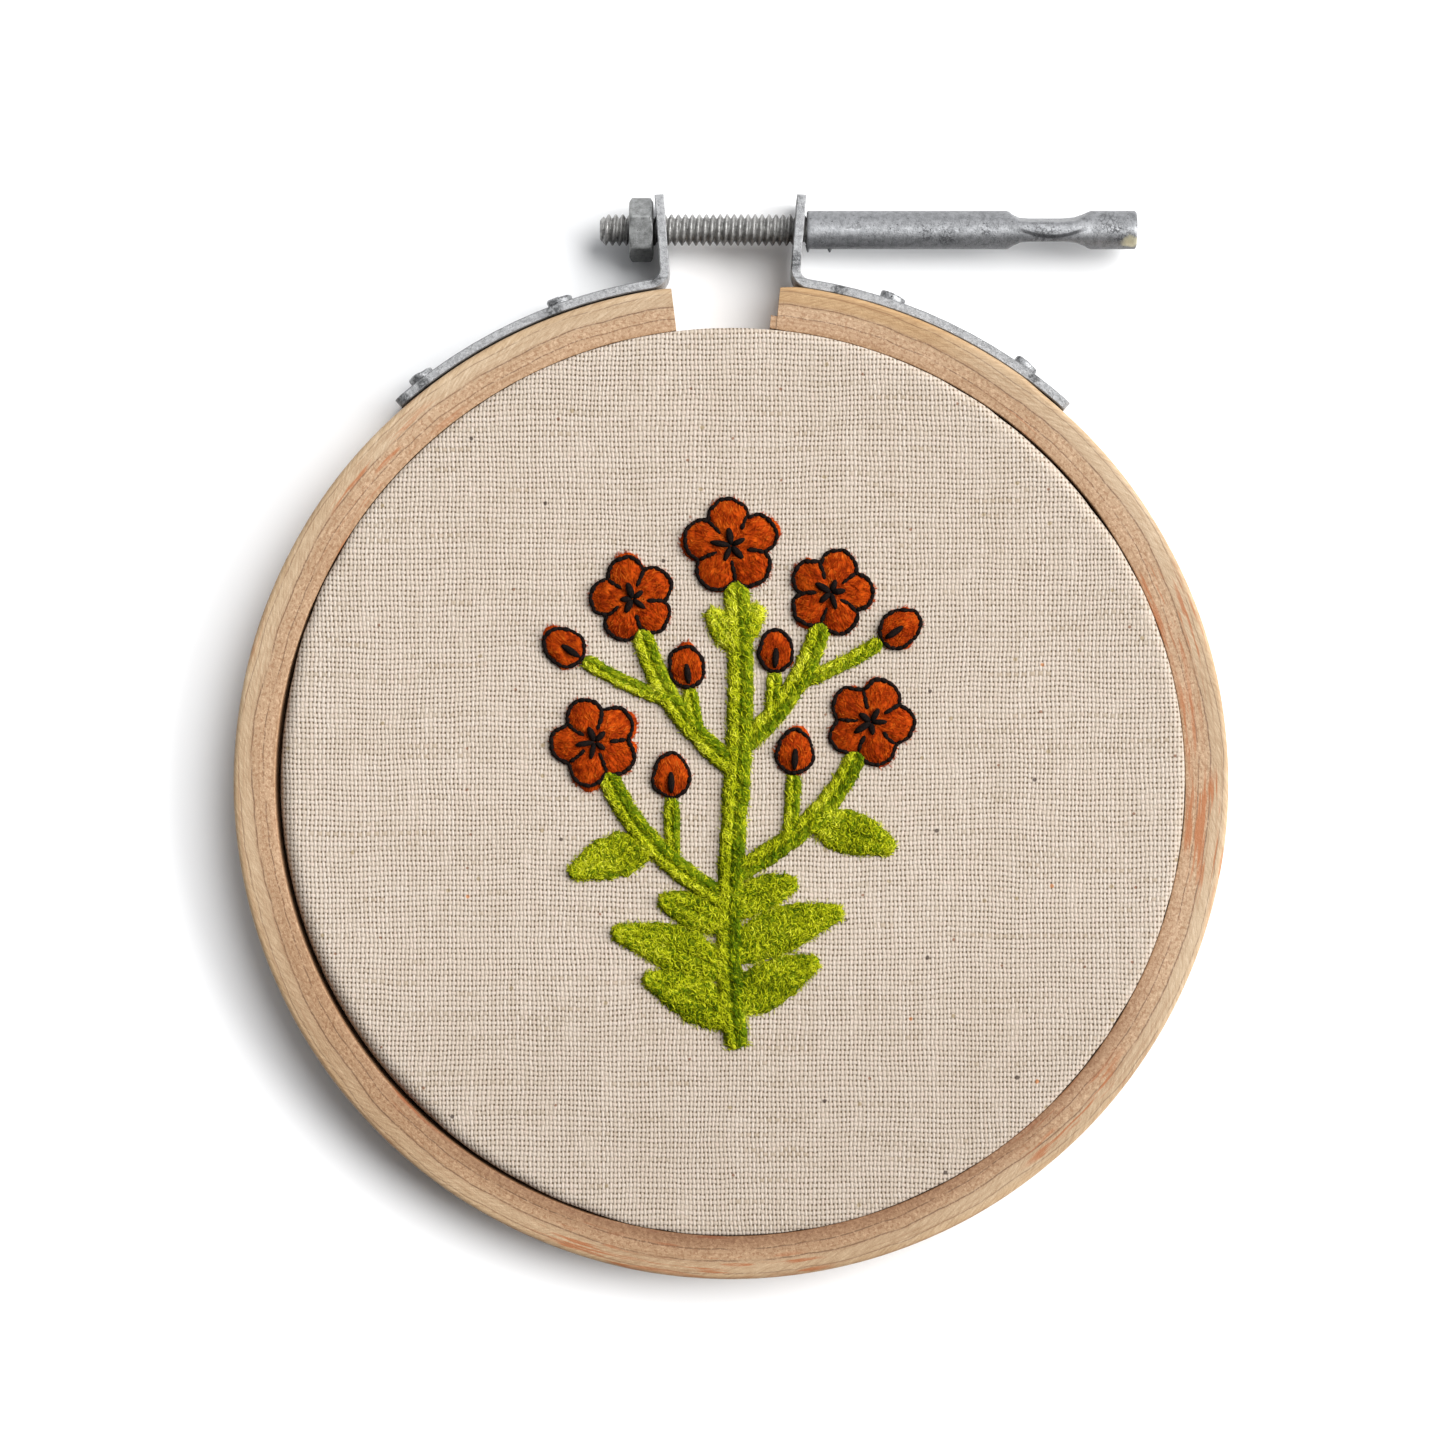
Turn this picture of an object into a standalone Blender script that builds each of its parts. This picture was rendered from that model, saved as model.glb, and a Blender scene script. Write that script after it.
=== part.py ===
"""Embroidery in a split wooden hoop with a screw clamp, lying on its back.

+Z is up through the cloth, and +Y runs towards the clamp. The origin is under the middle of the
whole object's box, on the surface that it rests on. Sizes are in metres and angles in degrees.
Ring angles are measured from +Y, positive towards +X.
"""
import math

import bmesh
import bpy
from mathutils import Vector

# General
GAP = 0.0003
ROUND_STEPS = 84
SHARP_ANGLE = 35.0

# Outer ring: split and laminated, with its inner ply longer at the right end
RING_RADIUS = 0.0750
RING_THICKNESS = 0.0066
RING_HEIGHT = 0.0110
RING_EDGE = 0.0010
RING_INNER_EDGE = 0.0004
LEFT_END_ANGLE = -6.9
RIGHT_END_ANGLE = 5.7
TONGUE_ANGLE = 4.9
TONGUE_THICKNESS = 0.0021
RING_BORE = RING_RADIUS - RING_THICKNESS

# Cloth, stretched over the inner ring
CLOTH_THICKNESS = 0.0010
CLOTH_PROUD = 0.0004
CLOTH_SHOULDER = 0.0030
CLOTH_TRIM_HEIGHT = 0.0008
CLOTH_RADIUS = RING_BORE - GAP
CLOTH_TOP = RING_HEIGHT + CLOTH_PROUD

# Inner ring
INNER_RING_THICKNESS = 0.0065
INNER_RING_EDGE = 0.0006
INNER_RING_RADIUS = CLOTH_RADIUS - CLOTH_THICKNESS - GAP
INNER_RING_HEIGHT = CLOTH_TOP - CLOTH_THICKNESS - GAP
INNER_RING_SHOULDER = CLOTH_SHOULDER - CLOTH_THICKNESS - GAP

# Clamp screw: a 3/16 inch rod with 24 threads to the inch
AXIS_Y = 0.08377
AXIS_Z = RING_HEIGHT / 2
ROD_RADIUS = 0.00238
ROD_ROOT_RADIUS = 0.00175
ROD_PITCH = 0.0254 / 24
ROD_THREADS = 29
ROD_LEFT_END = -0.01988
ROD_STEPS = 12
TANG_LENGTH = 0.0080

# Tube handle, pinched near its free end
TUBE_RADIUS = 0.0029
TUBE_BORE = 0.0021
TUBE_LEFT_END = 0.01152
TUBE_RIGHT_END = 0.06193
TUBE_RIM = 0.0002
TUBE_MOUTH_DEPTH = 0.0062
TUBE_STEPS = 20
PINCH_HALF_THICKNESS = 0.0014
PINCH_SPREAD = 0.08
PINCH_TILT = 14.0
PINCH = (
    # place along X, share of the full pinch
    (0.04200, 0.00),
    (0.04290, 0.45),
    (0.04390, 0.90),
    (0.04560, 1.00),
    (0.05040, 1.00),
    (0.05230, 0.85),
    (0.05360, 0.35),
    (0.05470, 0.00),
)

# Nut
NUT_ACROSS_FLATS = 0.00852
NUT_THICKNESS = 0.0036
NUT_RIGHT_FACE = -0.01181
NUT_TURN = 10.9
NUT_FACE_SHARE = 0.97
NUT_CHAMFER_ANGLE = 30.0
NUT_CONE_STEPS = 30

# Brackets: bent straps, each with a foot on the ring and a holed ear on the clamp screw
STRAP_THICKNESS = 0.0014
STRAP_WIDTH = 0.0095
STRAP_CHAMFER = 0.00015
STRAP_CORNER = 0.0013
BEND_RADIUS = 0.00225
EAR_TOP = 0.0888
FOOT_RADIUS = RING_RADIUS + GAP + STRAP_THICKNESS / 2
FOOT_STEPS = 12
BEND_STEPS = 6
CORNER_STEPS = 3
BRACKETS = (
    # side, mirror, foot end angle, ear place on the screw axis, ear tilt, rivet angles
    ("left", -1.0, 41.4, 0.01050, 4.3, (19.6, 37.4)),
    ("right", 1.0, 41.9, 0.01029, 4.6, (18.5, 35.3)),
)

# Rivets
RIVET_HEAD_RADIUS = 0.00195
RIVET_HEAD_HEIGHT = 0.00075
RIVET_HEAD_EDGE = 0.00025
RIVET_SHANK_RADIUS = 0.0010
RIVET_SHANK_LENGTH = 0.0061
RIVET_SEAT = RING_RADIUS + GAP + STRAP_THICKNESS + GAP
RIVET_STEPS = 14
BORE_STEPS = 24

# Wool embroidery, raised above the cloth and placed from the middle of the hoop
WOOL_BASE = CLOTH_TOP + GAP
GREEN_HEIGHT = 0.0011
SIDE_HEIGHT = 0.95 * GREEN_HEIGHT
TWIG_HEIGHT = 0.75 * GREEN_HEIGHT
LEAF_HEIGHT = 0.85 * GREEN_HEIGHT
BLOSSOM_HEIGHT = 0.0014
BUD_HEIGHT = 0.0012
STEM_HALF_WIDTH = 0.0017
SIDE_HALF_WIDTH = 0.0014
TWIG_HALF_WIDTH = 0.0009
TIP_HALF_WIDTH = 0.0006
STEM_END_SHARE = 0.6
FLOWER_CLEARANCE = 0.0005
STEM_STATIONS = 10
SIDE_STATIONS = 7
TWIG_STATIONS = 4
LEAF_STATIONS = 6
LEAF_BOW = 0.10
SIDE_BEND_OUT = 0.68
SIDE_BEND_UP = 0.30
TWIG_BEND_OUT = 0.50
TWIG_BEND_UP = 0.35
MAIN_STEM = ((0.0010, -0.0400), (-0.0030, -0.0180), (0.0036, 0.0040))
RIBBON_DOME = (
    # share of the half width, share of the height
    (-1.00, 0.00),
    (-0.80, 0.62),
    (-0.35, 1.00),
    (0.35, 1.00),
    (0.80, 0.62),
    (1.00, 0.00),
)
MOUND_LEVELS = (
    # share of the outline, share of the height
    (1.00, 0.00),
    (0.97, 0.45),
    (0.82, 0.85),
    (0.45, 1.00),
)
BLOSSOMS = (
    # x, y, radius, height of its stem's root on the main stem, which carries the first
    (0.0000, 0.0355, 0.0076, None),
    (-0.0148, 0.0275, 0.0068, 0.0020),
    (0.0150, 0.0285, 0.0068, 0.0050),
    (-0.0205, 0.0060, 0.0070, -0.0180),
    (0.0210, 0.0090, 0.0070, -0.0140),
)
BUDS = (
    # x, y, radius, blossom whose stem carries it, share of the way along that stem
    (-0.0246, 0.0200, 0.0036, 2, 0.55),
    (0.0250, 0.0228, 0.0036, 3, 0.58),
    (-0.0066, 0.0168, 0.0034, 2, 0.30),
    (0.0067, 0.0192, 0.0034, 3, 0.30),
    (-0.0090, 0.0005, 0.0036, 4, 0.35),
    (0.0096, 0.0040, 0.0036, 5, 0.35),
)
LEAVES = (
    # root x, root y, length, half width, direction from +X
    (0.0002, -0.0365, 0.0150, 0.0032, 152.0),
    (0.0002, -0.0345, 0.0150, 0.0032, 30.0),
    (-0.0004, -0.0290, 0.0185, 0.0032, 160.0),
    (-0.0004, -0.0265, 0.0185, 0.0032, 22.0),
    (-0.0006, -0.0220, 0.0110, 0.0026, 158.0),
    (-0.0002, -0.0196, 0.0110, 0.0026, 24.0),
    (-0.0118, -0.0100, 0.0130, 0.0030, 198.0),
    (0.0120, -0.0066, 0.0130, 0.0030, -16.0),
    (0.0006, 0.0200, 0.0070, 0.0020, 125.0),
    (0.0008, 0.0210, 0.0065, 0.0020, 55.0),
)
BLOSSOM_STEPS = 30
BLOSSOM_PETALS = 5
PETAL_NOTCH = 0.30
PETAL_ROUNDNESS = 0.7
NOTCH_REACH = 0.86
BUD_STEPS = 12
BUD_BODY = 0.80
BUD_POINT = 0.35

# The middle of the whole box lies over the origin
HOOP_CENTRE = (0.0, (RING_RADIUS - EAR_TOP) / 2, 0.0)
SCREW_AXIS = (0.0, AXIS_Y, AXIS_Z)

# Finishes: colour, roughness, metallic
FINISHES = {
    "beech": ((0.62, 0.43, 0.27), 0.60, 0.0),
    "inner_beech": ((0.66, 0.48, 0.31), 0.60, 0.0),
    "linen": ((0.64, 0.56, 0.47), 0.95, 0.0),
    "galvanised": ((0.58, 0.59, 0.60), 0.42, 0.9),
    "rivet_zinc": ((0.48, 0.49, 0.50), 0.40, 0.9),
    "nut_steel": ((0.26, 0.27, 0.28), 0.45, 0.9),
    "rod_steel": ((0.20, 0.21, 0.22), 0.40, 0.9),
    "tube_steel": ((0.44, 0.46, 0.48), 0.38, 0.9),
    "green_wool": ((0.28, 0.42, 0.03), 0.95, 0.0),
    "orange_wool": ((0.55, 0.11, 0.01), 0.95, 0.0),
}


def clear_scene():
    """Remove every object that the file opened with."""
    for item in list(bpy.data.objects):
        bpy.data.objects.remove(item, do_unlink=True)


def make_material(name, colour, roughness, metallic):
    """Make a plain Principled material."""
    made = bpy.data.materials.new(name)
    made.use_nodes = True
    shader = made.node_tree.nodes["Principled BSDF"]
    shader.inputs["Base Color"].default_value = (*colour, 1.0)
    shader.inputs["Roughness"].default_value = roughness
    shader.inputs["Metallic"].default_value = metallic
    made.diffuse_color = (*colour, 1.0)
    return made


def make_empty(name, parent, location):
    """Make an empty that carries a group of pieces."""
    made = bpy.data.objects.new(name, None)
    made.parent = parent
    made.location = location
    bpy.context.scene.collection.objects.link(made)
    return made


def make_solid(name, shape, finish, parent):
    """Make one closed object from points and faces, smooth but for its sharp edges."""
    verts, faces = shape
    mesh = bpy.data.meshes.new(name)
    mesh.from_pydata([tuple(point) for point in verts], [], faces)
    working = bmesh.new()
    working.from_mesh(mesh)
    bmesh.ops.recalc_face_normals(working, faces=working.faces)
    working.to_mesh(mesh)
    working.free()
    mesh.shade_smooth()
    mesh.set_sharp_from_angle(angle=math.radians(SHARP_ANGLE))
    mesh.materials.append(finish)
    made = bpy.data.objects.new(name, mesh)
    made.parent = parent
    bpy.context.scene.collection.objects.link(made)
    return made


def combine(target, helper, operation):
    """Join, cut or intersect with a helper shape, and leave the helper out of the model."""
    step = target.modifiers.new(helper.name, "BOOLEAN")
    step.operation = operation
    step.solver = "EXACT"
    step.object = helper
    helper.hide_render = True
    helper.display_type = "WIRE"


def loft(sections, closed=False, start_cap=True):
    """Join like-numbered points of neighbouring sections, with flat ends unless it closes."""
    count = len(sections[0])
    verts = [point for section in sections for point in section]
    faces = []
    spans = len(sections) if closed else len(sections) - 1
    for row in range(spans):
        near = row * count
        far = (row + 1) % len(sections) * count
        for column in range(count):
            after = (column + 1) % count
            faces.append((near + column, near + after, far + after, far + column))
    if not closed:
        faces.append(tuple(range(len(verts) - count, len(verts))))
        if start_cap:
            faces.append(tuple(range(count)))
    return verts, faces


def around_z(angle, radius, height):
    """A point at a ring angle."""
    turn = math.radians(angle)
    return Vector((radius * math.sin(turn), radius * math.cos(turn), height))


def circle_z(radius, height, steps):
    """A level circle of points round the Z axis."""
    return [around_z(360.0 * step / steps, radius, height) for step in range(steps)]


def circle_x(place, radius, steps):
    """A circle of points round the X axis."""
    turns = [2.0 * math.pi * step / steps for step in range(steps)]
    return [Vector((place, radius * math.cos(turn), radius * math.sin(turn))) for turn in turns]


def quarter_arc(radius, steps):
    """Offsets from a rounded edge's centre, from straight out to straight up."""
    turns = [0.5 * math.pi * step / steps for step in range(steps + 1)]
    return [(radius * math.cos(turn), radius * math.sin(turn)) for turn in turns]


def outer_ring_section():
    """The outer ring's section as radius and height, from its bore's foot round the outside."""
    ply = RING_BORE + TONGUE_THICKNESS
    rounding = RING_RADIUS - RING_EDGE
    section = [(RING_BORE, 0.0), (ply, 0.0), (rounding, 0.0), (RING_RADIUS, RING_EDGE)]
    for out, up in quarter_arc(RING_EDGE, 2):
        section.append((rounding + out, RING_HEIGHT - RING_EDGE + up))
    section.append((ply, RING_HEIGHT))
    section.append((RING_BORE + RING_INNER_EDGE, RING_HEIGHT))
    section.append((RING_BORE, RING_HEIGHT - RING_INNER_EDGE))
    return section


def make_outer_ring(finish, parent):
    """Sweep the section round the split ring, and run its inner ply past the right end."""
    section = outer_ring_section()
    ply_low = 1
    ply_high = len(section) - 3
    step = 360.0 / ROUND_STEPS
    first = math.ceil(RIGHT_END_ANGLE / step)
    last = math.floor((360.0 + LEFT_END_ANGLE) / step)
    angles = [RIGHT_END_ANGLE]
    angles += [step * index for index in range(first, last + 1)]
    angles.append(360.0 + LEFT_END_ANGLE)
    sweep = [[around_z(angle, *point) for point in section] for angle in angles]
    verts, faces = loft(sweep, start_cap=False)
    faces.append(tuple(range(ply_low, ply_high + 1)))
    root = list(range(ply_high, len(section))) + [0, ply_low]
    tip = [len(verts) + index for index in range(len(root))]
    verts += [around_z(TONGUE_ANGLE, *section[index]) for index in root]
    for index in range(len(root)):
        after = (index + 1) % len(root)
        faces.append((root[index], root[after], tip[after], tip[index]))
    faces.append(tuple(tip))
    return make_solid("outer_ring", (verts, faces), finish, parent)


def make_inner_ring(finish, parent):
    """Turn the closed inner ring, rounded where the cloth bends over it."""
    bore = INNER_RING_RADIUS - INNER_RING_THICKNESS
    rounding = INNER_RING_RADIUS - INNER_RING_SHOULDER
    section = [(bore, 0.0), (INNER_RING_RADIUS - INNER_RING_EDGE, 0.0)]
    section.append((INNER_RING_RADIUS, INNER_RING_EDGE))
    for out, up in quarter_arc(INNER_RING_SHOULDER, 2):
        section.append((rounding + out, INNER_RING_HEIGHT - INNER_RING_SHOULDER + up))
    section.append((bore, INNER_RING_HEIGHT))
    turns = [360.0 * step / ROUND_STEPS for step in range(ROUND_STEPS)]
    sweep = [[around_z(turn, *point) for point in section] for turn in turns]
    return make_solid("inner_ring", loft(sweep, closed=True), finish, parent)


def make_cloth(finish, parent):
    """Turn the stretched cloth: a flat face, a rounded shoulder and a skirt between the rings."""
    centre = CLOTH_RADIUS - CLOTH_SHOULDER
    level = CLOTH_TOP - CLOTH_SHOULDER
    inside = quarter_arc(CLOTH_SHOULDER - CLOTH_THICKNESS, 3)
    outside = quarter_arc(CLOTH_SHOULDER, 3)
    profile = [(centre + out, level + up) for out, up in reversed(inside)]
    profile.append((CLOTH_RADIUS - CLOTH_THICKNESS, CLOTH_TRIM_HEIGHT))
    profile.append((CLOTH_RADIUS, CLOTH_TRIM_HEIGHT))
    profile += [(centre + out, level + up) for out, up in outside]
    circles = [circle_z(radius, height, ROUND_STEPS) for radius, height in profile]
    return make_solid("cloth", loft(circles), finish, parent)


def strap_sizes(foot_end, ear_place, tilt):
    """A strap's bend angle, lean and the lengths of its foot, bend and ear, in radians and metres."""
    lean = math.radians(tilt)
    reach = FOOT_RADIUS + BEND_RADIUS
    offset = ear_place * math.cos(lean) - AXIS_Y * math.sin(lean) + BEND_RADIUS
    bend = lean + math.asin(offset / reach)
    foot_length = FOOT_RADIUS * (math.radians(foot_end) - bend)
    bend_length = BEND_RADIUS * (0.5 * math.pi - bend + lean)
    ear_root = reach * math.cos(bend) + BEND_RADIUS * math.sin(lean)
    ear_rise = EAR_TOP - ear_root - STRAP_THICKNESS / 2 * math.sin(lean)
    return bend, foot_length, bend_length, ear_rise / math.cos(lean)


def strap_frame(distance, foot_end, sizes):
    """A right-hand strap's middle point and outward direction, from its foot's end onwards."""
    bend, foot_length, bend_length, _ = sizes
    if distance < foot_length:
        angle = math.radians(foot_end) - distance / FOOT_RADIUS
        outward = Vector((math.sin(angle), math.cos(angle), 0.0))
        return outward * FOOT_RADIUS, outward
    centre = Vector((math.sin(bend), math.cos(bend), 0.0)) * (FOOT_RADIUS + BEND_RADIUS)
    angle = bend + min(distance - foot_length, bend_length) / BEND_RADIUS
    outward = Vector((math.sin(angle), math.cos(angle), 0.0))
    along = Vector((-outward.y, outward.x, 0.0))
    straight = max(0.0, distance - foot_length - bend_length)
    return centre - outward * BEND_RADIUS + along * straight, outward


def strap_half_width(distance, length):
    """Half the strap's width, less at the rounded corners of its two ends."""
    to_end = min(distance, length - distance)
    if to_end >= STRAP_CORNER:
        return STRAP_WIDTH / 2
    inset = STRAP_CORNER - to_end
    return STRAP_WIDTH / 2 - STRAP_CORNER + math.sqrt(STRAP_CORNER ** 2 - inset ** 2)


def make_bracket(side, mirror, foot_end, ear_place, tilt, finish, parent):
    """Sweep a chamfered strap along its foot, round its bend and up its ear."""
    sizes = strap_sizes(foot_end, ear_place, tilt)
    _, foot_length, bend_length, ear_length = sizes
    length = foot_length + bend_length + ear_length
    turns = [0.5 * math.pi * step / CORNER_STEPS for step in range(CORNER_STEPS + 1)]
    corner = [STRAP_CORNER * (1.0 - math.cos(turn)) for turn in turns]
    distances = list(corner)
    distances += [foot_length * step / FOOT_STEPS for step in range(1, FOOT_STEPS)]
    distances += [foot_length + bend_length * step / BEND_STEPS for step in range(BEND_STEPS + 1)]
    distances += [length - value for value in reversed(corner)]
    half = STRAP_THICKNESS / 2
    sections = []
    for distance in distances:
        middle, outward = strap_frame(distance, foot_end, sizes)
        width = strap_half_width(distance, length)
        edge = STRAP_CHAMFER
        corners = [(half, edge - width), (half, width - edge), (half - edge, width), (edge - half, width)]
        corners += [(-out, -up) for out, up in corners]
        section = []
        for out, up in corners:
            point = middle + outward * out
            section.append(Vector((point.x * mirror, point.y, AXIS_Z + up)))
        sections.append(section)
    return make_solid("bracket_" + side, loft(sections), finish, parent)


def make_rivet(name, angle, finish, parent):
    """Turn a flat-headed rivet on its own axis, then seat it on the strap."""
    head = RIVET_HEAD_RADIUS
    profile = [(RIVET_SHANK_RADIUS, -RIVET_SHANK_LENGTH), (RIVET_SHANK_RADIUS, 0.0), (head, 0.0)]
    profile.append((head, RIVET_HEAD_HEIGHT - RIVET_HEAD_EDGE))
    profile.append((head - RIVET_HEAD_EDGE, RIVET_HEAD_HEIGHT))
    circles = [circle_z(radius, height, RIVET_STEPS) for radius, height in profile]
    made = make_solid(name, loft(circles), finish, parent)
    made.location = around_z(angle, RIVET_SEAT, AXIS_Z)
    made.rotation_euler = (math.radians(-90.0), 0.0, math.radians(-angle))
    return made


def make_rivet_hole(name, angle, finish, parent):
    """A helper along a rivet's shank that clears it in the strap and the ring."""
    radius = RIVET_SHANK_RADIUS + GAP
    circles = [circle_z(radius, -RIVET_SHANK_LENGTH - GAP, RIVET_STEPS)]
    circles.append(circle_z(radius, STRAP_THICKNESS, RIVET_STEPS))
    made = make_solid(name, loft(circles), finish, parent)
    made.location = around_z(angle, RIVET_SEAT, AXIS_Z)
    made.rotation_euler = (math.radians(-90.0), 0.0, math.radians(-angle))
    return made


def make_screw_hole(finish, parent):
    """A helper along the clamp screw that clears its thread in the ears and the nut."""
    ends = (ROD_LEFT_END, TUBE_LEFT_END + GAP)
    circles = [circle_x(place, ROD_RADIUS + GAP, BORE_STEPS) for place in ends]
    return make_solid("screw_hole", loft(circles), finish, parent)


def make_threaded_rod(finish, parent):
    """Turn the rod with a ridge for each thread, and a plain tang inside the tube handle."""
    circles = []
    start = ROD_LEFT_END + GAP
    circles.append(circle_x(ROD_LEFT_END, ROD_ROOT_RADIUS - GAP, ROD_STEPS))
    for thread in range(ROD_THREADS):
        root = start + ROD_PITCH * thread
        circles.append(circle_x(root, ROD_ROOT_RADIUS, ROD_STEPS))
        circles.append(circle_x(root + ROD_PITCH / 2, ROD_RADIUS, ROD_STEPS))
    circles.append(circle_x(start + ROD_PITCH * ROD_THREADS, ROD_ROOT_RADIUS, ROD_STEPS))
    circles.append(circle_x(TUBE_LEFT_END + TANG_LENGTH, ROD_ROOT_RADIUS, ROD_STEPS))
    return make_solid("threaded_rod", loft(circles), finish, parent)


def tube_ring(place, radius, pinch=0.0):
    """A ring of the tube: a circle, or a circle pressed flat from two sides and widened."""
    tilt = math.radians(PINCH_TILT)
    limit = radius + (PINCH_HALF_THICKNESS - radius) * pinch
    points = []
    for step in range(TUBE_STEPS):
        turn = 2.0 * math.pi * step / TUBE_STEPS
        across = max(-limit, min(limit, radius * math.cos(turn)))
        along = radius * math.sin(turn) * (1.0 + PINCH_SPREAD * pinch)
        y = across * math.cos(tilt) - along * math.sin(tilt)
        z = across * math.sin(tilt) + along * math.cos(tilt)
        points.append(Vector((place, y, z)))
    return points


def make_tube_handle(finish, parent):
    """Loft the handle: a bore for the rod, the pinched outside and an open mouth."""
    rim = TUBE_RADIUS - TUBE_RIM
    rings = [tube_ring(TUBE_LEFT_END + TANG_LENGTH + GAP, TUBE_BORE)]
    rings.append(tube_ring(TUBE_LEFT_END, TUBE_BORE))
    rings.append(tube_ring(TUBE_LEFT_END, rim))
    rings.append(tube_ring(TUBE_LEFT_END + TUBE_RIM, TUBE_RADIUS))
    rings += [tube_ring(place, TUBE_RADIUS, share) for place, share in PINCH]
    rings.append(tube_ring(TUBE_RIGHT_END - TUBE_RIM, TUBE_RADIUS))
    rings.append(tube_ring(TUBE_RIGHT_END, rim))
    rings.append(tube_ring(TUBE_RIGHT_END, TUBE_BORE))
    rings.append(tube_ring(TUBE_RIGHT_END - TUBE_MOUTH_DEPTH, TUBE_BORE))
    return make_solid("tube_handle", loft(rings), finish, parent)


def make_nut(screw_hole, finish, parent):
    """Cut a hexagon prism to a double cone for its chamfers, and bore it."""
    corner = NUT_ACROSS_FLATS / 2 / math.cos(math.pi / 6.0)
    left = NUT_RIGHT_FACE - NUT_THICKNESS
    prism = [circle_x(place, corner, 6) for place in (left, NUT_RIGHT_FACE)]
    made = make_solid("nut", loft(prism), finish, parent)
    made.rotation_euler = (math.radians(NUT_TURN), 0.0, 0.0)
    face = NUT_ACROSS_FLATS / 2 * NUT_FACE_SHARE
    wide = corner + GAP
    setback = (wide - face) * math.tan(math.radians(NUT_CHAMFER_ANGLE))
    profile = ((left, face), (left + setback, wide), (NUT_RIGHT_FACE - setback, wide))
    profile += ((NUT_RIGHT_FACE, face),)
    cone = [circle_x(place, radius, NUT_CONE_STEPS) for place, radius in profile]
    chamfer = make_solid("nut_chamfer", loft(cone), finish, parent)
    combine(made, chamfer, "INTERSECT")
    combine(made, screw_hole, "DIFFERENCE")
    return made


def curve_point(controls, share):
    """A point on the Bezier curve of any number of control points."""
    points = [Vector((*control, 0.0)) for control in controls]
    while len(points) > 1:
        points = [near.lerp(far, share) for near, far in zip(points, points[1:])]
    return points[0]


def make_ribbon(name, controls, widths, height, finish, parent):
    """A domed strip of stitching along a curve, with one half width for each station."""
    sections = []
    for index, half_width in enumerate(widths):
        share = index / (len(widths) - 1)
        middle = curve_point(controls, share)
        ahead = curve_point(controls, min(1.0, share + 0.01))
        behind = curve_point(controls, max(0.0, share - 0.01))
        along = (ahead - behind).normalized()
        across = Vector((along.y, -along.x, 0.0))
        section = []
        for out, up in RIBBON_DOME:
            point = middle + across * out * half_width
            section.append(Vector((point.x, point.y, WOOL_BASE + up * height)))
        sections.append(section)
    return make_solid(name, loft(sections), finish, parent)


def stem_widths(half_width, stations):
    """An even stem whose last station draws in."""
    return [half_width] * (stations - 1) + [half_width * STEM_END_SHARE]


def leaf_widths(half_width):
    """A lance-shaped leaf: narrow at its root, widest before its middle, fine at its tip."""
    widths = []
    for station in range(LEAF_STATIONS):
        share = station / (LEAF_STATIONS - 1)
        swell = math.sin(math.pi * share ** 0.8)
        widths.append(TIP_HALF_WIDTH + (half_width - TIP_HALF_WIDTH) * max(0.0, swell))
    return widths


def place_at_height(controls, height):
    """The place on a rising curve at a given height up the cloth."""
    steps = 200
    points = [curve_point(controls, step / steps) for step in range(steps + 1)]
    nearest = min(points, key=lambda point: abs(point.y - height))
    return nearest.x, nearest.y


def stop_short(controls, flower, reach):
    """Add the end of a stem, a short way before the middle of its flower."""
    centre = Vector((*flower, 0.0))
    heading = (centre - Vector((*controls[-1], 0.0))).normalized()
    end = centre - heading * (reach + FLOWER_CLEARANCE)
    return (*controls, (end.x, end.y))


def stem_heading(controls):
    """The angle from +X at which a stem ends."""
    (near_x, near_y), (far_x, far_y) = controls[-2:]
    return math.atan2(far_y - near_y, far_x - near_x)


def blossom_stems():
    """The curve of the main stem, then one for each side stem that rises to a blossom."""
    x, y, radius, _ = BLOSSOMS[0]
    stems = [stop_short(MAIN_STEM, (x, y), radius * NOTCH_REACH)]
    for x, y, radius, height in BLOSSOMS[1:]:
        root = place_at_height(stems[0], height)
        bend = (SIDE_BEND_OUT * x, height + SIDE_BEND_UP * (y - height))
        stems.append(stop_short((root, bend), (x, y), radius * NOTCH_REACH))
    return stems


def bud_twigs(stems):
    """One curve for each bud, from the side stem that carries it."""
    twigs = []
    for x, y, radius, carrier, share in BUDS:
        root = curve_point(stems[carrier - 1], share)
        bend_x = root.x + TWIG_BEND_OUT * (x - root.x)
        bend_y = root.y + TWIG_BEND_UP * (y - root.y)
        controls = ((root.x, root.y), (bend_x, bend_y))
        twigs.append(stop_short(controls, (x, y), radius * BUD_BODY))
    return twigs


def leaf_curve(x, y, length, direction):
    """A leaf's curve, bowed a little upward."""
    turn = math.radians(direction)
    tip = (x + length * math.cos(turn), y + length * math.sin(turn))
    bow = LEAF_BOW * length * (1.0 if math.cos(turn) < 0.0 else -1.0)
    middle_x = 0.5 * (x + tip[0]) + bow * math.sin(turn)
    middle_y = 0.5 * (y + tip[1]) - bow * math.cos(turn)
    return (x, y), (middle_x, middle_y), tip


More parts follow.
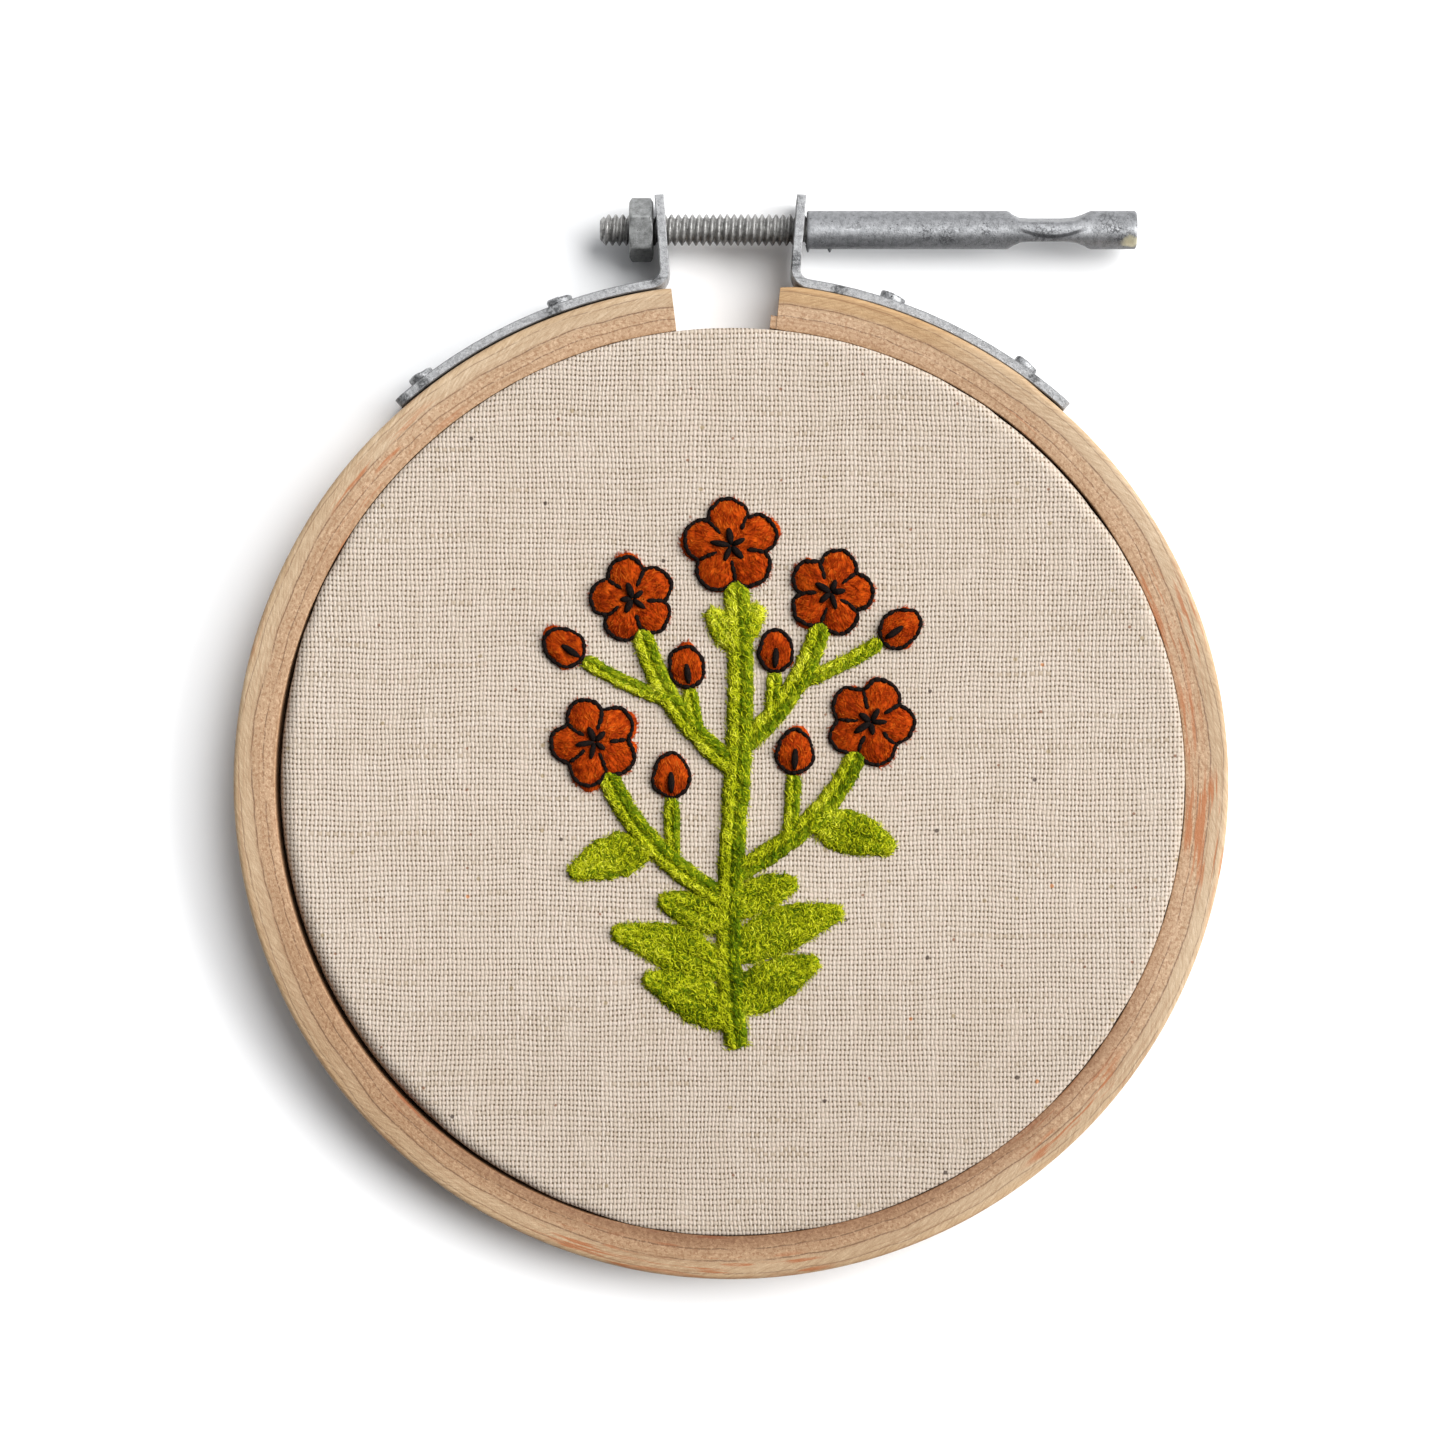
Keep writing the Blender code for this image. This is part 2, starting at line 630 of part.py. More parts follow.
def make_greens(stems, twigs, finish, parent):
    """Fuse the main stem, side stems, twigs and leaves into one raised spray."""
    main_widths = stem_widths(STEM_HALF_WIDTH, STEM_STATIONS)
    spray = make_ribbon("embroidery_greens", stems[0], main_widths, GREEN_HEIGHT, finish, parent)
    strips = []
    for stem in stems[1:]:
        strips.append((stem, stem_widths(SIDE_HALF_WIDTH, SIDE_STATIONS), SIDE_HEIGHT))
    for twig in twigs:
        strips.append((twig, stem_widths(TWIG_HALF_WIDTH, TWIG_STATIONS), TWIG_HEIGHT))
    for x, y, length, half_width, direction in LEAVES:
        curve = leaf_curve(x, y, length, direction)
        strips.append((curve, leaf_widths(half_width), LEAF_HEIGHT))
    for index, (curve, widths, height) in enumerate(strips):
        name = f"green_strip_{index + 1}"
        strip = make_ribbon(name, curve, widths, height, finish, parent)
        combine(spray, strip, "UNION")
    return spray


def make_mound(name, x, y, outline, height, finish, parent):
    """Raise a domed, flat-based mound inside an outline given as distances from its middle."""
    sections = []
    for spread, lift in MOUND_LEVELS:
        section = []
        for turn, distance in outline:
            place_x = x + distance * spread * math.cos(turn)
            place_y = y + distance * spread * math.sin(turn)
            section.append(Vector((place_x, place_y, WOOL_BASE + height * lift)))
        sections.append(section)
    return make_solid(name, loft(sections), finish, parent)


def blossom_outline(radius, turn):
    """A round five-petalled outline."""
    outline = []
    for step in range(BLOSSOM_STEPS):
        angle = 2.0 * math.pi * step / BLOSSOM_STEPS
        petal = abs(math.cos(BLOSSOM_PETALS * angle / 2.0)) ** PETAL_ROUNDNESS
        distance = radius * (1.0 - PETAL_NOTCH + PETAL_NOTCH * petal)
        outline.append((angle + turn, distance))
    return outline


def bud_outline(radius, turn):
    """A round outline drawn out to a soft point."""
    outline = []
    for step in range(BUD_STEPS):
        angle = 2.0 * math.pi * step / BUD_STEPS
        point = max(0.0, math.cos(angle)) ** 3
        outline.append((angle + turn, radius * (BUD_BODY + BUD_POINT * point)))
    return outline


def make_hoop(finishes, parent):
    """Make the rings and the cloth, and the brackets riveted to the outer ring."""
    ring = make_outer_ring(finishes["beech"], parent)
    make_inner_ring(finishes["inner_beech"], parent)
    make_cloth(finishes["linen"], parent)
    axis = make_empty("screw_hole_axis", parent, SCREW_AXIS)
    screw_hole = make_screw_hole(finishes["galvanised"], axis)
    for side, mirror, foot_end, ear_place, tilt, rivet_angles in BRACKETS:
        strap = finishes["galvanised"]
        bracket = make_bracket(side, mirror, foot_end, ear_place, tilt, strap, parent)
        combine(bracket, screw_hole, "DIFFERENCE")
        for index, angle in enumerate(rivet_angles):
            name = f"rivet_{side}_{index + 1}"
            make_rivet(name, angle * mirror, finishes["rivet_zinc"], parent)
            hole = make_rivet_hole(name + "_hole", angle * mirror, finishes["beech"], parent)
            combine(bracket, hole, "DIFFERENCE")
            combine(ring, hole, "DIFFERENCE")
    return screw_hole


def make_clamp_screw(finishes, screw_hole, parent):
    """Make the rod and its handle, which turn together, and the nut."""
    axis = make_empty("clamp_screw_axis", parent, SCREW_AXIS)
    make_threaded_rod(finishes["rod_steel"], axis)
    make_tube_handle(finishes["tube_steel"], axis)
    make_nut(screw_hole, finishes["nut_steel"], axis)


def make_embroidery(finishes, parent):
    """Make the spray of greens, the blossoms and the buds."""
    stems = blossom_stems()
    twigs = bud_twigs(stems)
    make_greens(stems, twigs, finishes["green_wool"], parent)
    wool = finishes["orange_wool"]
    for index, (x, y, radius, _) in enumerate(BLOSSOMS):
        outline = blossom_outline(radius, stem_heading(stems[index]))
        make_mound(f"blossom_{index + 1}", x, y, outline, BLOSSOM_HEIGHT, wool, parent)
    for index, (x, y, radius, _, _) in enumerate(BUDS):
        outline = bud_outline(radius, stem_heading(twigs[index]))
        make_mound(f"bud_{index + 1}", x, y, outline, BUD_HEIGHT, wool, parent)


def main():
    """Build the whole object."""
    clear_scene()
    finishes = {name: make_material(name, *values) for name, values in FINISHES.items()}
    hoop = make_empty("hoop_centre", None, HOOP_CENTRE)
    screw_hole = make_hoop(finishes, hoop)
    make_clamp_screw(finishes, screw_hole, hoop)
    make_embroidery(finishes, hoop)


main()
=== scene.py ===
"""Embroidery in a split wooden hoop with a screw clamp: the finished look, dressed over the solids.

Sizes are in metres and angles in degrees, in the solids' own frame: the hoop lies on its back on
the plane z = 0, and +Y runs towards the clamp. Ring angles are measured from +Y, positive towards
+X. Places in the embroidery are measured from the middle of the hoop.
"""
import random
from math import atan2, cos, dist, exp, hypot, pi, radians, sin, sqrt, tau

import bpy
import numpy as np
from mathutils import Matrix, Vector, noise


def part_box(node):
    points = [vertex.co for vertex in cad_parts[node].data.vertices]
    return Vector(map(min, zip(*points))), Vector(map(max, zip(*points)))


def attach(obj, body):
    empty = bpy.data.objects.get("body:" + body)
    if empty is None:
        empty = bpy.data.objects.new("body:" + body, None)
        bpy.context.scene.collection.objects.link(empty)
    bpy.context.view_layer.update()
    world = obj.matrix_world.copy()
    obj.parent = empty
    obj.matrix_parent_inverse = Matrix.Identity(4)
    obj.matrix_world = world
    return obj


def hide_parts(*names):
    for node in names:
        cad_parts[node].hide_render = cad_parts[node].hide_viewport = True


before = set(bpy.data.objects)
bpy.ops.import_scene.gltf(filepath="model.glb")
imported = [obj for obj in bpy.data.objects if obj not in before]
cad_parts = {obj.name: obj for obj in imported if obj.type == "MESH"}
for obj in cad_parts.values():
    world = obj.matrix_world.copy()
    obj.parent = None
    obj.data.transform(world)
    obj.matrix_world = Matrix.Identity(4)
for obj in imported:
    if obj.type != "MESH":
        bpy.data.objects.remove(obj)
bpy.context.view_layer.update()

# Places that the solids give
RING_LOW, RING_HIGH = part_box("outer_ring")
RING_RADIUS = RING_HIGH.x
RING_TOP = RING_HIGH.z
HOOP_Y = RING_LOW.y + RING_RADIUS
CLOTH_LOW, CLOTH_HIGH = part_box("cloth")
CLOTH_RADIUS = CLOTH_HIGH.x
CLOTH_TOP = CLOTH_HIGH.z
INNER_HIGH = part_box("inner_ring")[1]
ROD_LOW, ROD_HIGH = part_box("threaded_rod")
AXIS_Y = (ROD_LOW.y + ROD_HIGH.y) / 2
AXIS_Z = (ROD_LOW.z + ROD_HIGH.z) / 2
TUBE_LOW, TUBE_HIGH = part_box("tube_handle")
NUT_LOW, NUT_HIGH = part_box("nut")
STRAP_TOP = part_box("bracket_left")[1].z

# View: straight down, with the hoop low and a little right in the frame
SENSOR_WIDTH = 36.0
VIEW_WIDTH = 0.2176
VIEW_DISTANCE = 0.6
VIEW_CENTRE = (-0.00128, 0.00893)
FLOOR_HALF_WIDTH = 3.0

# Light: name, strength, spread in degrees and where it comes from
LAMPS = (
    ("high_light", 2.92, 45.0, (0.6, 0.45, 1.0)),
    ("low_light", 2.63, 35.0, (1.52, -0.13, 0.9)),
)
SKY_STRENGTH = 1.034
SKY_AIM = (0.18, 0.848, 0.499)
SKY_STOPS = (
    (0.32, (0.064, 0.066, 0.07)),
    (0.94, (0.95, 0.97, 1.0)),
)

# Outer ring
RING_THICKNESS = 0.0066
RING_BORE = RING_RADIUS - RING_THICKNESS
RING_EDGE = 0.0007
RING_INNER_EDGE = 0.00018
LEFT_END_ANGLE = -6.9
RIGHT_END_ANGLE = 5.7
TONGUE_ANGLE = 4.9
TONGUE_THICKNESS = 0.0021
TONGUE_SUNK = 0.00012
TONGUE_EDGE = 0.0001
TONGUE_OVERLAP = 1.0
TONGUE_STATIONS = 8
END_EASE = 0.00012
STRAP_FILL = 0.00025
STRAP_END_ANGLE = 39.0
GOLDEN_TURN = radians(168.0)
RING_STATIONS = 420
EDGE_STEPS = 5
ON_RING_TOP = (0.7, 0.45, 0.2)

# Inner ring
INNER_RING_THICKNESS = 0.0065
INNER_RING_SHOULDER = 0.0017
INNER_RING_EDGE = 0.0006

# Cloth
CLOTH_THICKNESS = 0.001
CLOTH_SHOULDER = 0.003
CLOTH_STATIONS = 360
SNUG_SHOULDER = 0.0014
LOOSE_SHOULDER = 0.0024
LOOSE_DROP = 0.0019
SNUG_DROP = 0.0005
LOOSE_REACH = -0.0003
LOOSE_BORE = 0.0003
SNUG_REACH = 0.00026
LOOSE_PLACES = (
    # ring angle, half width in degrees, how loose
    (247.0, 40.0, 1.35),
    (47.0, 16.0, 0.32),
)
WARP_PITCH = 0.000607
WEFT_PITCH = 0.00077

# Clamp screw and nut
ROD_ROOT_RADIUS = 0.00175
ROD_PITCH = 0.0254 / 24
ROD_SIDES = 36
ROWS_PER_PITCH = 12
TANG_LENGTH = 0.008
TUBE_RADIUS = 0.0029
TUBE_BORE = 0.0021
TUBE_RIM = 0.0002
TUBE_WEAR = 0.0004
TUBE_MOUTH_DEPTH = 0.0062
TUBE_STATIONS = 150
TUBE_SIDES = 64
PINCH_HALF_THICKNESS = 0.00152
PINCH_SPREAD = 0.08
PINCH_TILT = 14.0
PINCH = (
    # place along X, share of the full pinch
    (0.042, 0.00),
    (0.0429, 0.45),
    (0.0439, 0.9),
    (0.0456, 1.0),
    (0.0504, 1.0),
    (0.0523, 0.85),
    (0.0536, 0.35),
    (0.0547, 0.00),
)
NUT_ACROSS_FLATS = 0.00852
NUT_TURN = 10.9
NUT_BORE = 0.0025
NUT_BORE_FLARE = 0.0003
NUT_CONE = 1.75
NUT_SIDES = 144
NUT_CORNER_WEAR = 0.00008

# Rivets: head radius, height and place round the ring
RIVET_HEAD_RADIUS = 0.00195
RIVET_HEAD_RISE = 0.0013
STRAP_LOW = RING_RADIUS + 0.0003
STRAP_THICKNESS = 0.0014
RIVET_SEAT = STRAP_LOW + STRAP_THICKNESS
RIVET_SHANK_RADIUS = 0.001
RIVET_SHANK_LENGTH = 0.005
RIVET_SIDES = 40
STRAP_STAINS = (
    # ring angle, distance from the hoop's middle, reach
    (-20.8, 0.0756, 0.0021),
    (-37.8, 0.0759, 0.0014),
    (-40.6, 0.0759, 0.0013),
    (7.0, 0.079, 0.0016),
    (12.4, 0.0758, 0.0016),
    (36.8, 0.0761, 0.0013),
    (-8.6, 0.0765, 0.0012),
)
TUBE_CRACKS = (
    # place along X, distance below the axis, reach
    (0.0296, 0.001, 0.0016),
    (0.0328, 0.0014, 0.0018),
    (0.0385, 0.0004, 0.0012),
    (0.0475, 0.0008, 0.003),
    (0.0572, -0.001, 0.0024),
    (0.059, 0.001, 0.002),
)
TUBE_DRIPS = (
    # place along X, size
    (0.015, 0.00032),
    (0.0117, 0.00026),
)
NECK_MIDDLE = 0.0485
NECK_HALF_LENGTH = 0.005
# Painted light on the tube and rod: a painted highlight along the tube's front, painted shade under both
PAINTED_HIGHLIGHT_HEIGHT = -0.00055
TUBE_PAINTED_HIGHLIGHT = (2.0, 2.0, 2.0)
TUBE_UNDERSIDE_SHADE = (0.65, 0.65, 0.65)
ROD_UNDERSIDE_SHADE = (0.46, 0.46, 0.46)
BRASS_PLACE = (0.0605, 0.0021)
BRASS_REACH = 0.0015
RIVETS = (
    # node, ring angle
    ("rivet_left_1", -19.6),
    ("rivet_left_2", -37.4),
    ("rivet_right_1", 18.5),
    ("rivet_right_2", 35.3),
)

# Wool: a spray of stems, leaves, blossoms and buds, measured from the middle of the hoop
GREEN_HEIGHT = 0.0012
SIDE_HEIGHT = 0.00115
TWIG_HEIGHT = 0.00095
LEAF_HEIGHT = 0.00105
BLOSSOM_HEIGHT = 0.0014
BUD_HEIGHT = 0.0012
STEM_HALF_WIDTH = 0.0019
SIDE_HALF_WIDTH = 0.0016
TWIG_HALF_WIDTH = 0.0011
LEAF_SPREAD = 0.0003
TIP_HALF_WIDTH = 0.001
LEAF_BOW = 0.1
SIDE_BEND_OUT = 0.68
SIDE_BEND_UP = 0.3
TWIG_BEND_OUT = 0.5
TWIG_BEND_UP = 0.35
STEM_REACH = 1.02
MAIN_STEM = ((0.001, -0.04), (-0.003, -0.018), (0.0036, 0.004))
BLOSSOMS = (
    # x, y, radius, height of its stem's root on the main stem, which carries the first
    (0.0000, 0.0355, 0.0076, None),
    (-0.0148, 0.0275, 0.0068, 0.002),
    (0.015, 0.0285, 0.0068, 0.005),
    (-0.0205, 0.006, 0.007, -0.018),
    (0.021, 0.009, 0.007, -0.014),
)
BUDS = (
    # x, y, radius, blossom whose stem carries it, share of the way along that stem
    (-0.0246, 0.02, 0.0036, 2, 0.55),
    (0.025, 0.0228, 0.0036, 3, 0.58),
    (-0.0066, 0.0168, 0.0034, 2, 0.3),
    (0.0067, 0.0192, 0.0034, 3, 0.3),
    (-0.009, 0.0005, 0.0036, 4, 0.35),
    (0.0096, 0.004, 0.0036, 5, 0.35),
)
LEAVES = (
    # root x, root y, length, half width, direction from +X
    (0.0002, -0.0365, 0.015, 0.0032, 152.0),
    (0.0002, -0.0345, 0.015, 0.0032, 30.0),
    (-0.0004, -0.029, 0.0185, 0.0032, 160.0),
    (-0.0004, -0.0265, 0.0185, 0.0032, 22.0),
    (-0.0006, -0.022, 0.011, 0.0026, 158.0),
    (-0.0002, -0.0196, 0.011, 0.0026, 24.0),
    (-0.0118, -0.01, 0.013, 0.003, 198.0),
    (0.012, -0.0066, 0.013, 0.003, -16.0),
    (0.0006, 0.02, 0.007, 0.002, 125.0),
    (0.0008, 0.021, 0.0065, 0.002, 55.0),
)
BLOSSOM_PETALS = 5
PETAL_NOTCH = 0.3
PETAL_ROUNDNESS = 0.7
BUD_BODY = 0.8
BUD_POINT = 0.35
FIELD_STEP = 0.00022
GREENS_FIELD = (-0.03, -0.044, 0.032, 0.036)
GREENS_SEED = 11
BLOSSOM_SEED = 100
BUD_SEED = 200
WOOL_FOOT = 0.00008
WOOL_TUCK = 0.0002
WOOL_GRAIN = 1500.0
GREENS_ROUGHNESS = 0.00013
FLOWER_ROUGHNESS = 0.00007
ROPE_TWIST = 0.0026
CURLS_PER_AREA = 6.1e6
HAZE_PER_AREA = 5.0e6
FLOWER_FIBRES_PER_AREA = 13.0e6
FIBRE_STEPS = 3
FIBRE_LENGTH = 0.0011
FIBRE_RADIUS = 0.00005
FIBRE_BENDING = 1.1
FIBRE_TAPER = (0.45, 1.0, 1.0, 0.4)
CURL_STEPS = 4
CURL_LENGTH = 0.001
CURL_RADIUS = 0.000094
CURL_BENDING = 3.0
CURL_TAPER = (0.4, 0.95, 1.15, 0.95, 0.35)
THREAD_RADIUS = 0.00031
STITCH_LENGTH = 0.001
STITCH_OVERLAP = 0.14
STITCH_SIDES = 7
RIM_STEPS = 120
STITCH_SWAY = 0.00011

# Linen and beech, colour by colour
WARP_TONES = (
    (0.3, (0.47, 0.392, 0.305)),
    (0.6, (0.545, 0.462, 0.378)),
    (0.85, (0.6, 0.52, 0.44)),
)
WEFT_TONES = (
    (0.3, (0.41, 0.335, 0.25)),
    (0.6, (0.52, 0.437, 0.358)),
    (0.85, (0.56, 0.48, 0.405)),
)
LINEN_SPECKS = (
    # counts a metre, share kept, size, colour: husks, neps, orange flecks, faint stains
    (70.0, 0.3, 0.028, (0.045, 0.025, 0.016)),
    (150.0, 0.16, 0.042, (0.21, 0.095, 0.05)),
    (45.0, 0.25, 0.017, (0.5, 0.19, 0.06)),
    (210.0, 0.07, 0.085, (0.33, 0.25, 0.15)),
)
PLIES = (
    # share of the way out from the bore, colour
    (0.00, (0.4, 0.24, 0.13)),
    (0.12, (0.45, 0.29, 0.172)),
    (0.3, (0.455, 0.3, 0.18)),
    (0.5, (0.43, 0.285, 0.17)),
    (0.56, (0.41, 0.28, 0.17)),
    (0.63, (0.465, 0.335, 0.212)),
    (0.84, (0.48, 0.35, 0.222)),
    (1.00, (0.5, 0.35, 0.205)),
)
GLUE_LINES = (
    # share of the way out, half width, strength, breaks a metre
    (0.285, 0.021, 0.85, 150.0),
    (0.555, 0.024, 0.9, 100.0),
    (0.85, 0.018, 0.6, 200.0),
)
GREEN_WOOLS = (
    # name, dark, middle and light tones, how much painted shade darkens it down the cloth
    # The ground wool is darker than the curls: painted shade in the gaps between them
    ("green_wool_shaded_ground", (0.048, 0.07, 0.001), (0.145, 0.175, 0.003), (0.29, 0.32, 0.01), 0.06),
    ("green_wool", (0.188, 0.222, 0.002), (0.372, 0.4, 0.005), (0.545, 0.56, 0.018), 0.06),
    ("green_wool_light", (0.32, 0.35, 0.005), (0.51, 0.525, 0.016), (0.71, 0.71, 0.07), 0.06),
    ("green_wool_dark", (0.045, 0.09, 0.001), (0.112, 0.18, 0.002), (0.235, 0.295, 0.006), 0.05),
    ("green_wool_haze", (0.4, 0.4, 0.03), (0.56, 0.56, 0.075), (0.7, 0.7, 0.15), 0.05),
)
ORANGE_WOOLS = (
    # the same, then counts a metre of its fibres and of its clouds
    ("orange_wool", (0.19, 0.016, 0.001), (0.38, 0.042, 0.002), (0.52, 0.078, 0.004), 0.01, 900.0,
     420.0),
    ("orange_wool_light", (0.38, 0.046, 0.002), (0.54, 0.09, 0.005), (0.68, 0.17, 0.018), 0.01, 900.0),
    ("orange_wool_dark", (0.12, 0.01, 0.001), (0.26, 0.02, 0.001), (0.42, 0.042, 0.002), 0.01, 900.0),
)


# Node materials
class Signal:
    """What a node gives out, with plain arithmetic on it."""

    def __init__(self, look, socket):
        self.look = look
        self.socket = socket

    def math(self, operation, *others):
        """One arithmetic node on this and other values."""
        return self.look.math(operation, self, *others)

    def __add__(self, other):
        return self.math("ADD", other)

    def __sub__(self, other):
        return self.math("SUBTRACT", other)

    def __rsub__(self, other):
        return self.look.math("SUBTRACT", other, self)

    def __mul__(self, other):
        return self.math("MULTIPLY", other)

    def __truediv__(self, other):
        return self.math("DIVIDE", other)

    def __abs__(self):
        return self.math("ABSOLUTE")

    def cosine(self):
        """The cosine of an angle in radians."""
        return self.math("COSINE")

    def remap(self, low, high, to_low=0.0, to_high=1.0):
        """The value eased from one range to another, held within it."""
        inputs = {"Value": self, "From Min": low, "From Max": high, "To Min": to_low, "To Max": to_high}
        return self.look.add("MapRange", inputs, interpolation_type="SMOOTHSTEP")

    def beside(self, output):
        """Another output of the same node."""
        return Signal(self.look, self.socket.node.outputs[output])


class Look:
    """A node material, written as short calls that each return a signal."""

    def __init__(self, name, **constants):
        self.material = bpy.data.materials.new(name)
        self.material.use_nodes = True
        self.tree = self.material.node_tree
        self.shader = self.tree.nodes["Principled BSDF"]
        for key, value in constants.items():
            title = key.replace("_", " ").title().replace("Ior", "IOR")
            self.shader.inputs[title].default_value = value
        self.place = self.add("TexCoord", {}, output="Object")

    def add(self, kind, inputs, output=0, **settings):
        """Add a node, link or set its inputs, and return one of its outputs."""
        node = self.tree.nodes.new("ShaderNode" + kind)
        for key, value in settings.items():
            setattr(node, key, value)
        for key, value in inputs.items():
            if isinstance(value, Signal):
                self.tree.links.new(value.socket, node.inputs[key])
            else:
                node.inputs[key].default_value = value
        return Signal(self, node.outputs[output])

    def set(self, key, signal):
        """Drive one of the shader's inputs."""
        self.tree.links.new(signal.socket, self.shader.inputs[key])

    def math(self, operation, first, second=0.0):
        """One arithmetic node."""
        return self.add("Math", {0: first, 1: second}, operation=operation)

    def vector(self, operation, first, second, output=0):
        """One arithmetic node on vectors."""
        return self.add("VectorMath", {0: first, 1: second}, output, operation=operation)

    def split(self, vector):
        """A vector's three parts."""
        first = self.add("SeparateXYZ", {"Vector": vector})
        return first, first.beside(1), first.beside(2)

    def join(self, x, y, z):
        """A vector from its three parts."""
        return self.add("CombineXYZ", {"X": x, "Y": y, "Z": z})

    def length(self, x, y):
        """How far a point is from the Z axis."""
        return self.vector("LENGTH", self.join(x, y, 0.0), (0.0, 0.0, 0.0), "Value")

    def noise(self, vector, scale, detail=2.0, roughness=0.5, output=0):
        """Soft noise from 0 to 1."""
        inputs = {"Vector": vector, "Scale": scale, "Detail": detail, "Roughness": roughness}
        return self.add("TexNoise", inputs, output=output)

    def shift(self, vector, scale, reach):
        """The vector, pushed about by soft noise."""
        push = self.vector("SUBTRACT", self.noise(vector, scale, 1.0, output="Color"), (0.5, 0.5, 0.5))
        scaled = self.add("VectorMath", {0: push, "Scale": reach}, operation="SCALE")
        return self.vector("ADD", vector, scaled)

    def ramp(self, value, stops):
        """A colour from a table of (place, colour) stops."""
        made = self.add("ValToRGB", {"Fac": value})
        elements = made.socket.node.color_ramp.elements
        elements.remove(elements[1])
        elements[0].position, elements[0].color = stops[0][0], (*stops[0][1], 1.0)
        for position, colour in stops[1:]:
            elements.new(position).color = (*colour, 1.0)
        return made

    def blend(self, share, first, second, mode="MIX"):
        """A mix of two colours."""
        inputs = {0: share}
        for index, colour in ((6, first), (7, second)):
            inputs[index] = colour if isinstance(colour, Signal) else (*colour, 1.0)
        return self.add("Mix", inputs, output=2, data_type="RGBA", blend_type=mode)

    def tint(self, share, colour, tone):
        """The colour multiplied by a tone, by a share."""
        return self.blend(share, colour, tone, "MULTIPLY")

    def bump(self, height, depth, strength=1.0):
        """Tilt the shader's normal by a height from 0 to 1."""
        inputs = {"Height": height, "Distance": depth, "Strength": strength}
        self.set("Normal", self.add("Bump", inputs))


def linen_look():
    """Unbleached plain weave: uneven yarns, open corners in paired rows, slubs and specks, with painted
    shade down the yarns' sides, in the open corners and towards the bottom.
    """
    look = Look("linen", roughness=0.95, sheen_weight=0.05, sheen_roughness=0.6)
    place = look.shift(look.shift(look.place, 55.0, 0.0014), 380.0, 0.00034)
    x, y, _ = look.split(place)
    across = x / WARP_PITCH
    along = y / WEFT_PITCH
    warp_number = across.math("ROUND")
    weft_number = along.math("ROUND")
    warp_chance = look.add("TexWhiteNoise", {"W": warp_number}, noise_dimensions="1D")
    weft_chance = look.add("TexWhiteNoise", {"W": weft_number}, noise_dimensions="1D")
    warp_off = across.math("PINGPONG", 0.5)
    weft_off = along.math("PINGPONG", 0.5)
    lift = (across * pi).cosine() * (along * pi).cosine() * 0.55

    def rounded(off, chance):
        """A yarn's section: 1 along its middle, falling to its sides."""
        return 1.0 - off * off * chance.remap(0.0, 1.0, 2.9, 3.8)

    warp_height = rounded(warp_off, warp_chance) + lift
    weft_height = rounded(weft_off, weft_chance) - lift
    height = warp_height.math("MAXIMUM", weft_height)
    on_top = (warp_height - weft_height).remap(-0.2, 0.2)

    # The open corners: stronger in every second row between warps, and shut by slubs
    gap_across = across.math("FLOOR")
    gap_along = along.math("FLOOR")
    pair = abs(gap_across).math("MODULO", 2.0)
    corner_chance = look.add("TexWhiteNoise", {"Vector": look.join(gap_across, gap_along, 0.0)})
    slub_place = look.join(x * 340.0, y * 150.0, 7.0)
    slub = look.noise(slub_place, 1.0, 3.0, 0.6).remap(0.56, 0.68, 0.0, 0.9)
    patchy = look.noise(place, 420.0, 2.0).remap(0.35, 0.65, 0.72, 1.5)
    strength = (corner_chance * 0.7 + (pair * 0.34 + 0.28)) * patchy * (1.0 - slub)
    hole = warp_off.remap(0.2, 0.42) * weft_off.remap(0.22, 0.42) * strength
    hole = hole.math("MINIMUM", 1.0)

    # Yarns vary along their length, and a few wefts run browner for a while
    warp_run = look.noise(look.join(warp_number * 3.7, y * 60.0, 5.0), 1.0, 3.0, 0.6)
    weft_run = look.noise(look.join(x * 60.0, weft_number * 3.7, 0.0), 1.0, 3.0, 0.6)
    warp = look.ramp(warp_chance * 0.22 + (warp_run + 0.065), WARP_TONES)
    weft = look.ramp(weft_chance * 0.26 + (weft_run + 0.045), WEFT_TONES)
    brown_run = weft_run.remap(0.57, 0.68) * (1.0 - on_top)
    yarn = look.blend(brown_run * 0.5, look.blend(on_top, weft, warp), (0.33, 0.24, 0.14))
    pinkish = look.noise(place, 1500.0, 2.0).remap(0.5, 0.68, 0.0, 0.3)
    yarn = look.blend(pinkish, yarn, (0.64, 0.5, 0.43))
    # Painted shade: each yarn darker down its sides, where it dips under the next
    shade = look.tint(height.remap(1.45, 0.35), yarn, (0.74, 0.71, 0.67))
    # Painted shade: the open corners painted dark
    shade = look.blend(hole * 0.95, shade, (0.15, 0.098, 0.052))

    rough_place = look.shift(place, 2600.0, 0.00022)
    for scale, share, size, colour in LINEN_SPECKS:
        speck = look.add("TexVoronoi", {"Vector": rough_place, "Scale": scale}, voronoi_dimensions="2D")
        chosen = look.split(speck.beside("Color"))[0].math("LESS_THAN", share)
        shade = look.blend(speck.remap(size, size * 0.55, 0.0, 0.85) * chosen, shade, colour)
    # Painted shade: the cloth darker towards the bottom
    look.set("Base Color", look.tint(y.remap(-0.01, -0.075), shade, (0.9, 0.89, 0.88)))
    fuzz = look.noise(place, 5200.0, 2.0) * 0.25
    look.bump(height / 1.6 - hole * 0.4 + fuzz, 0.0002, 0.8)
    return look.material


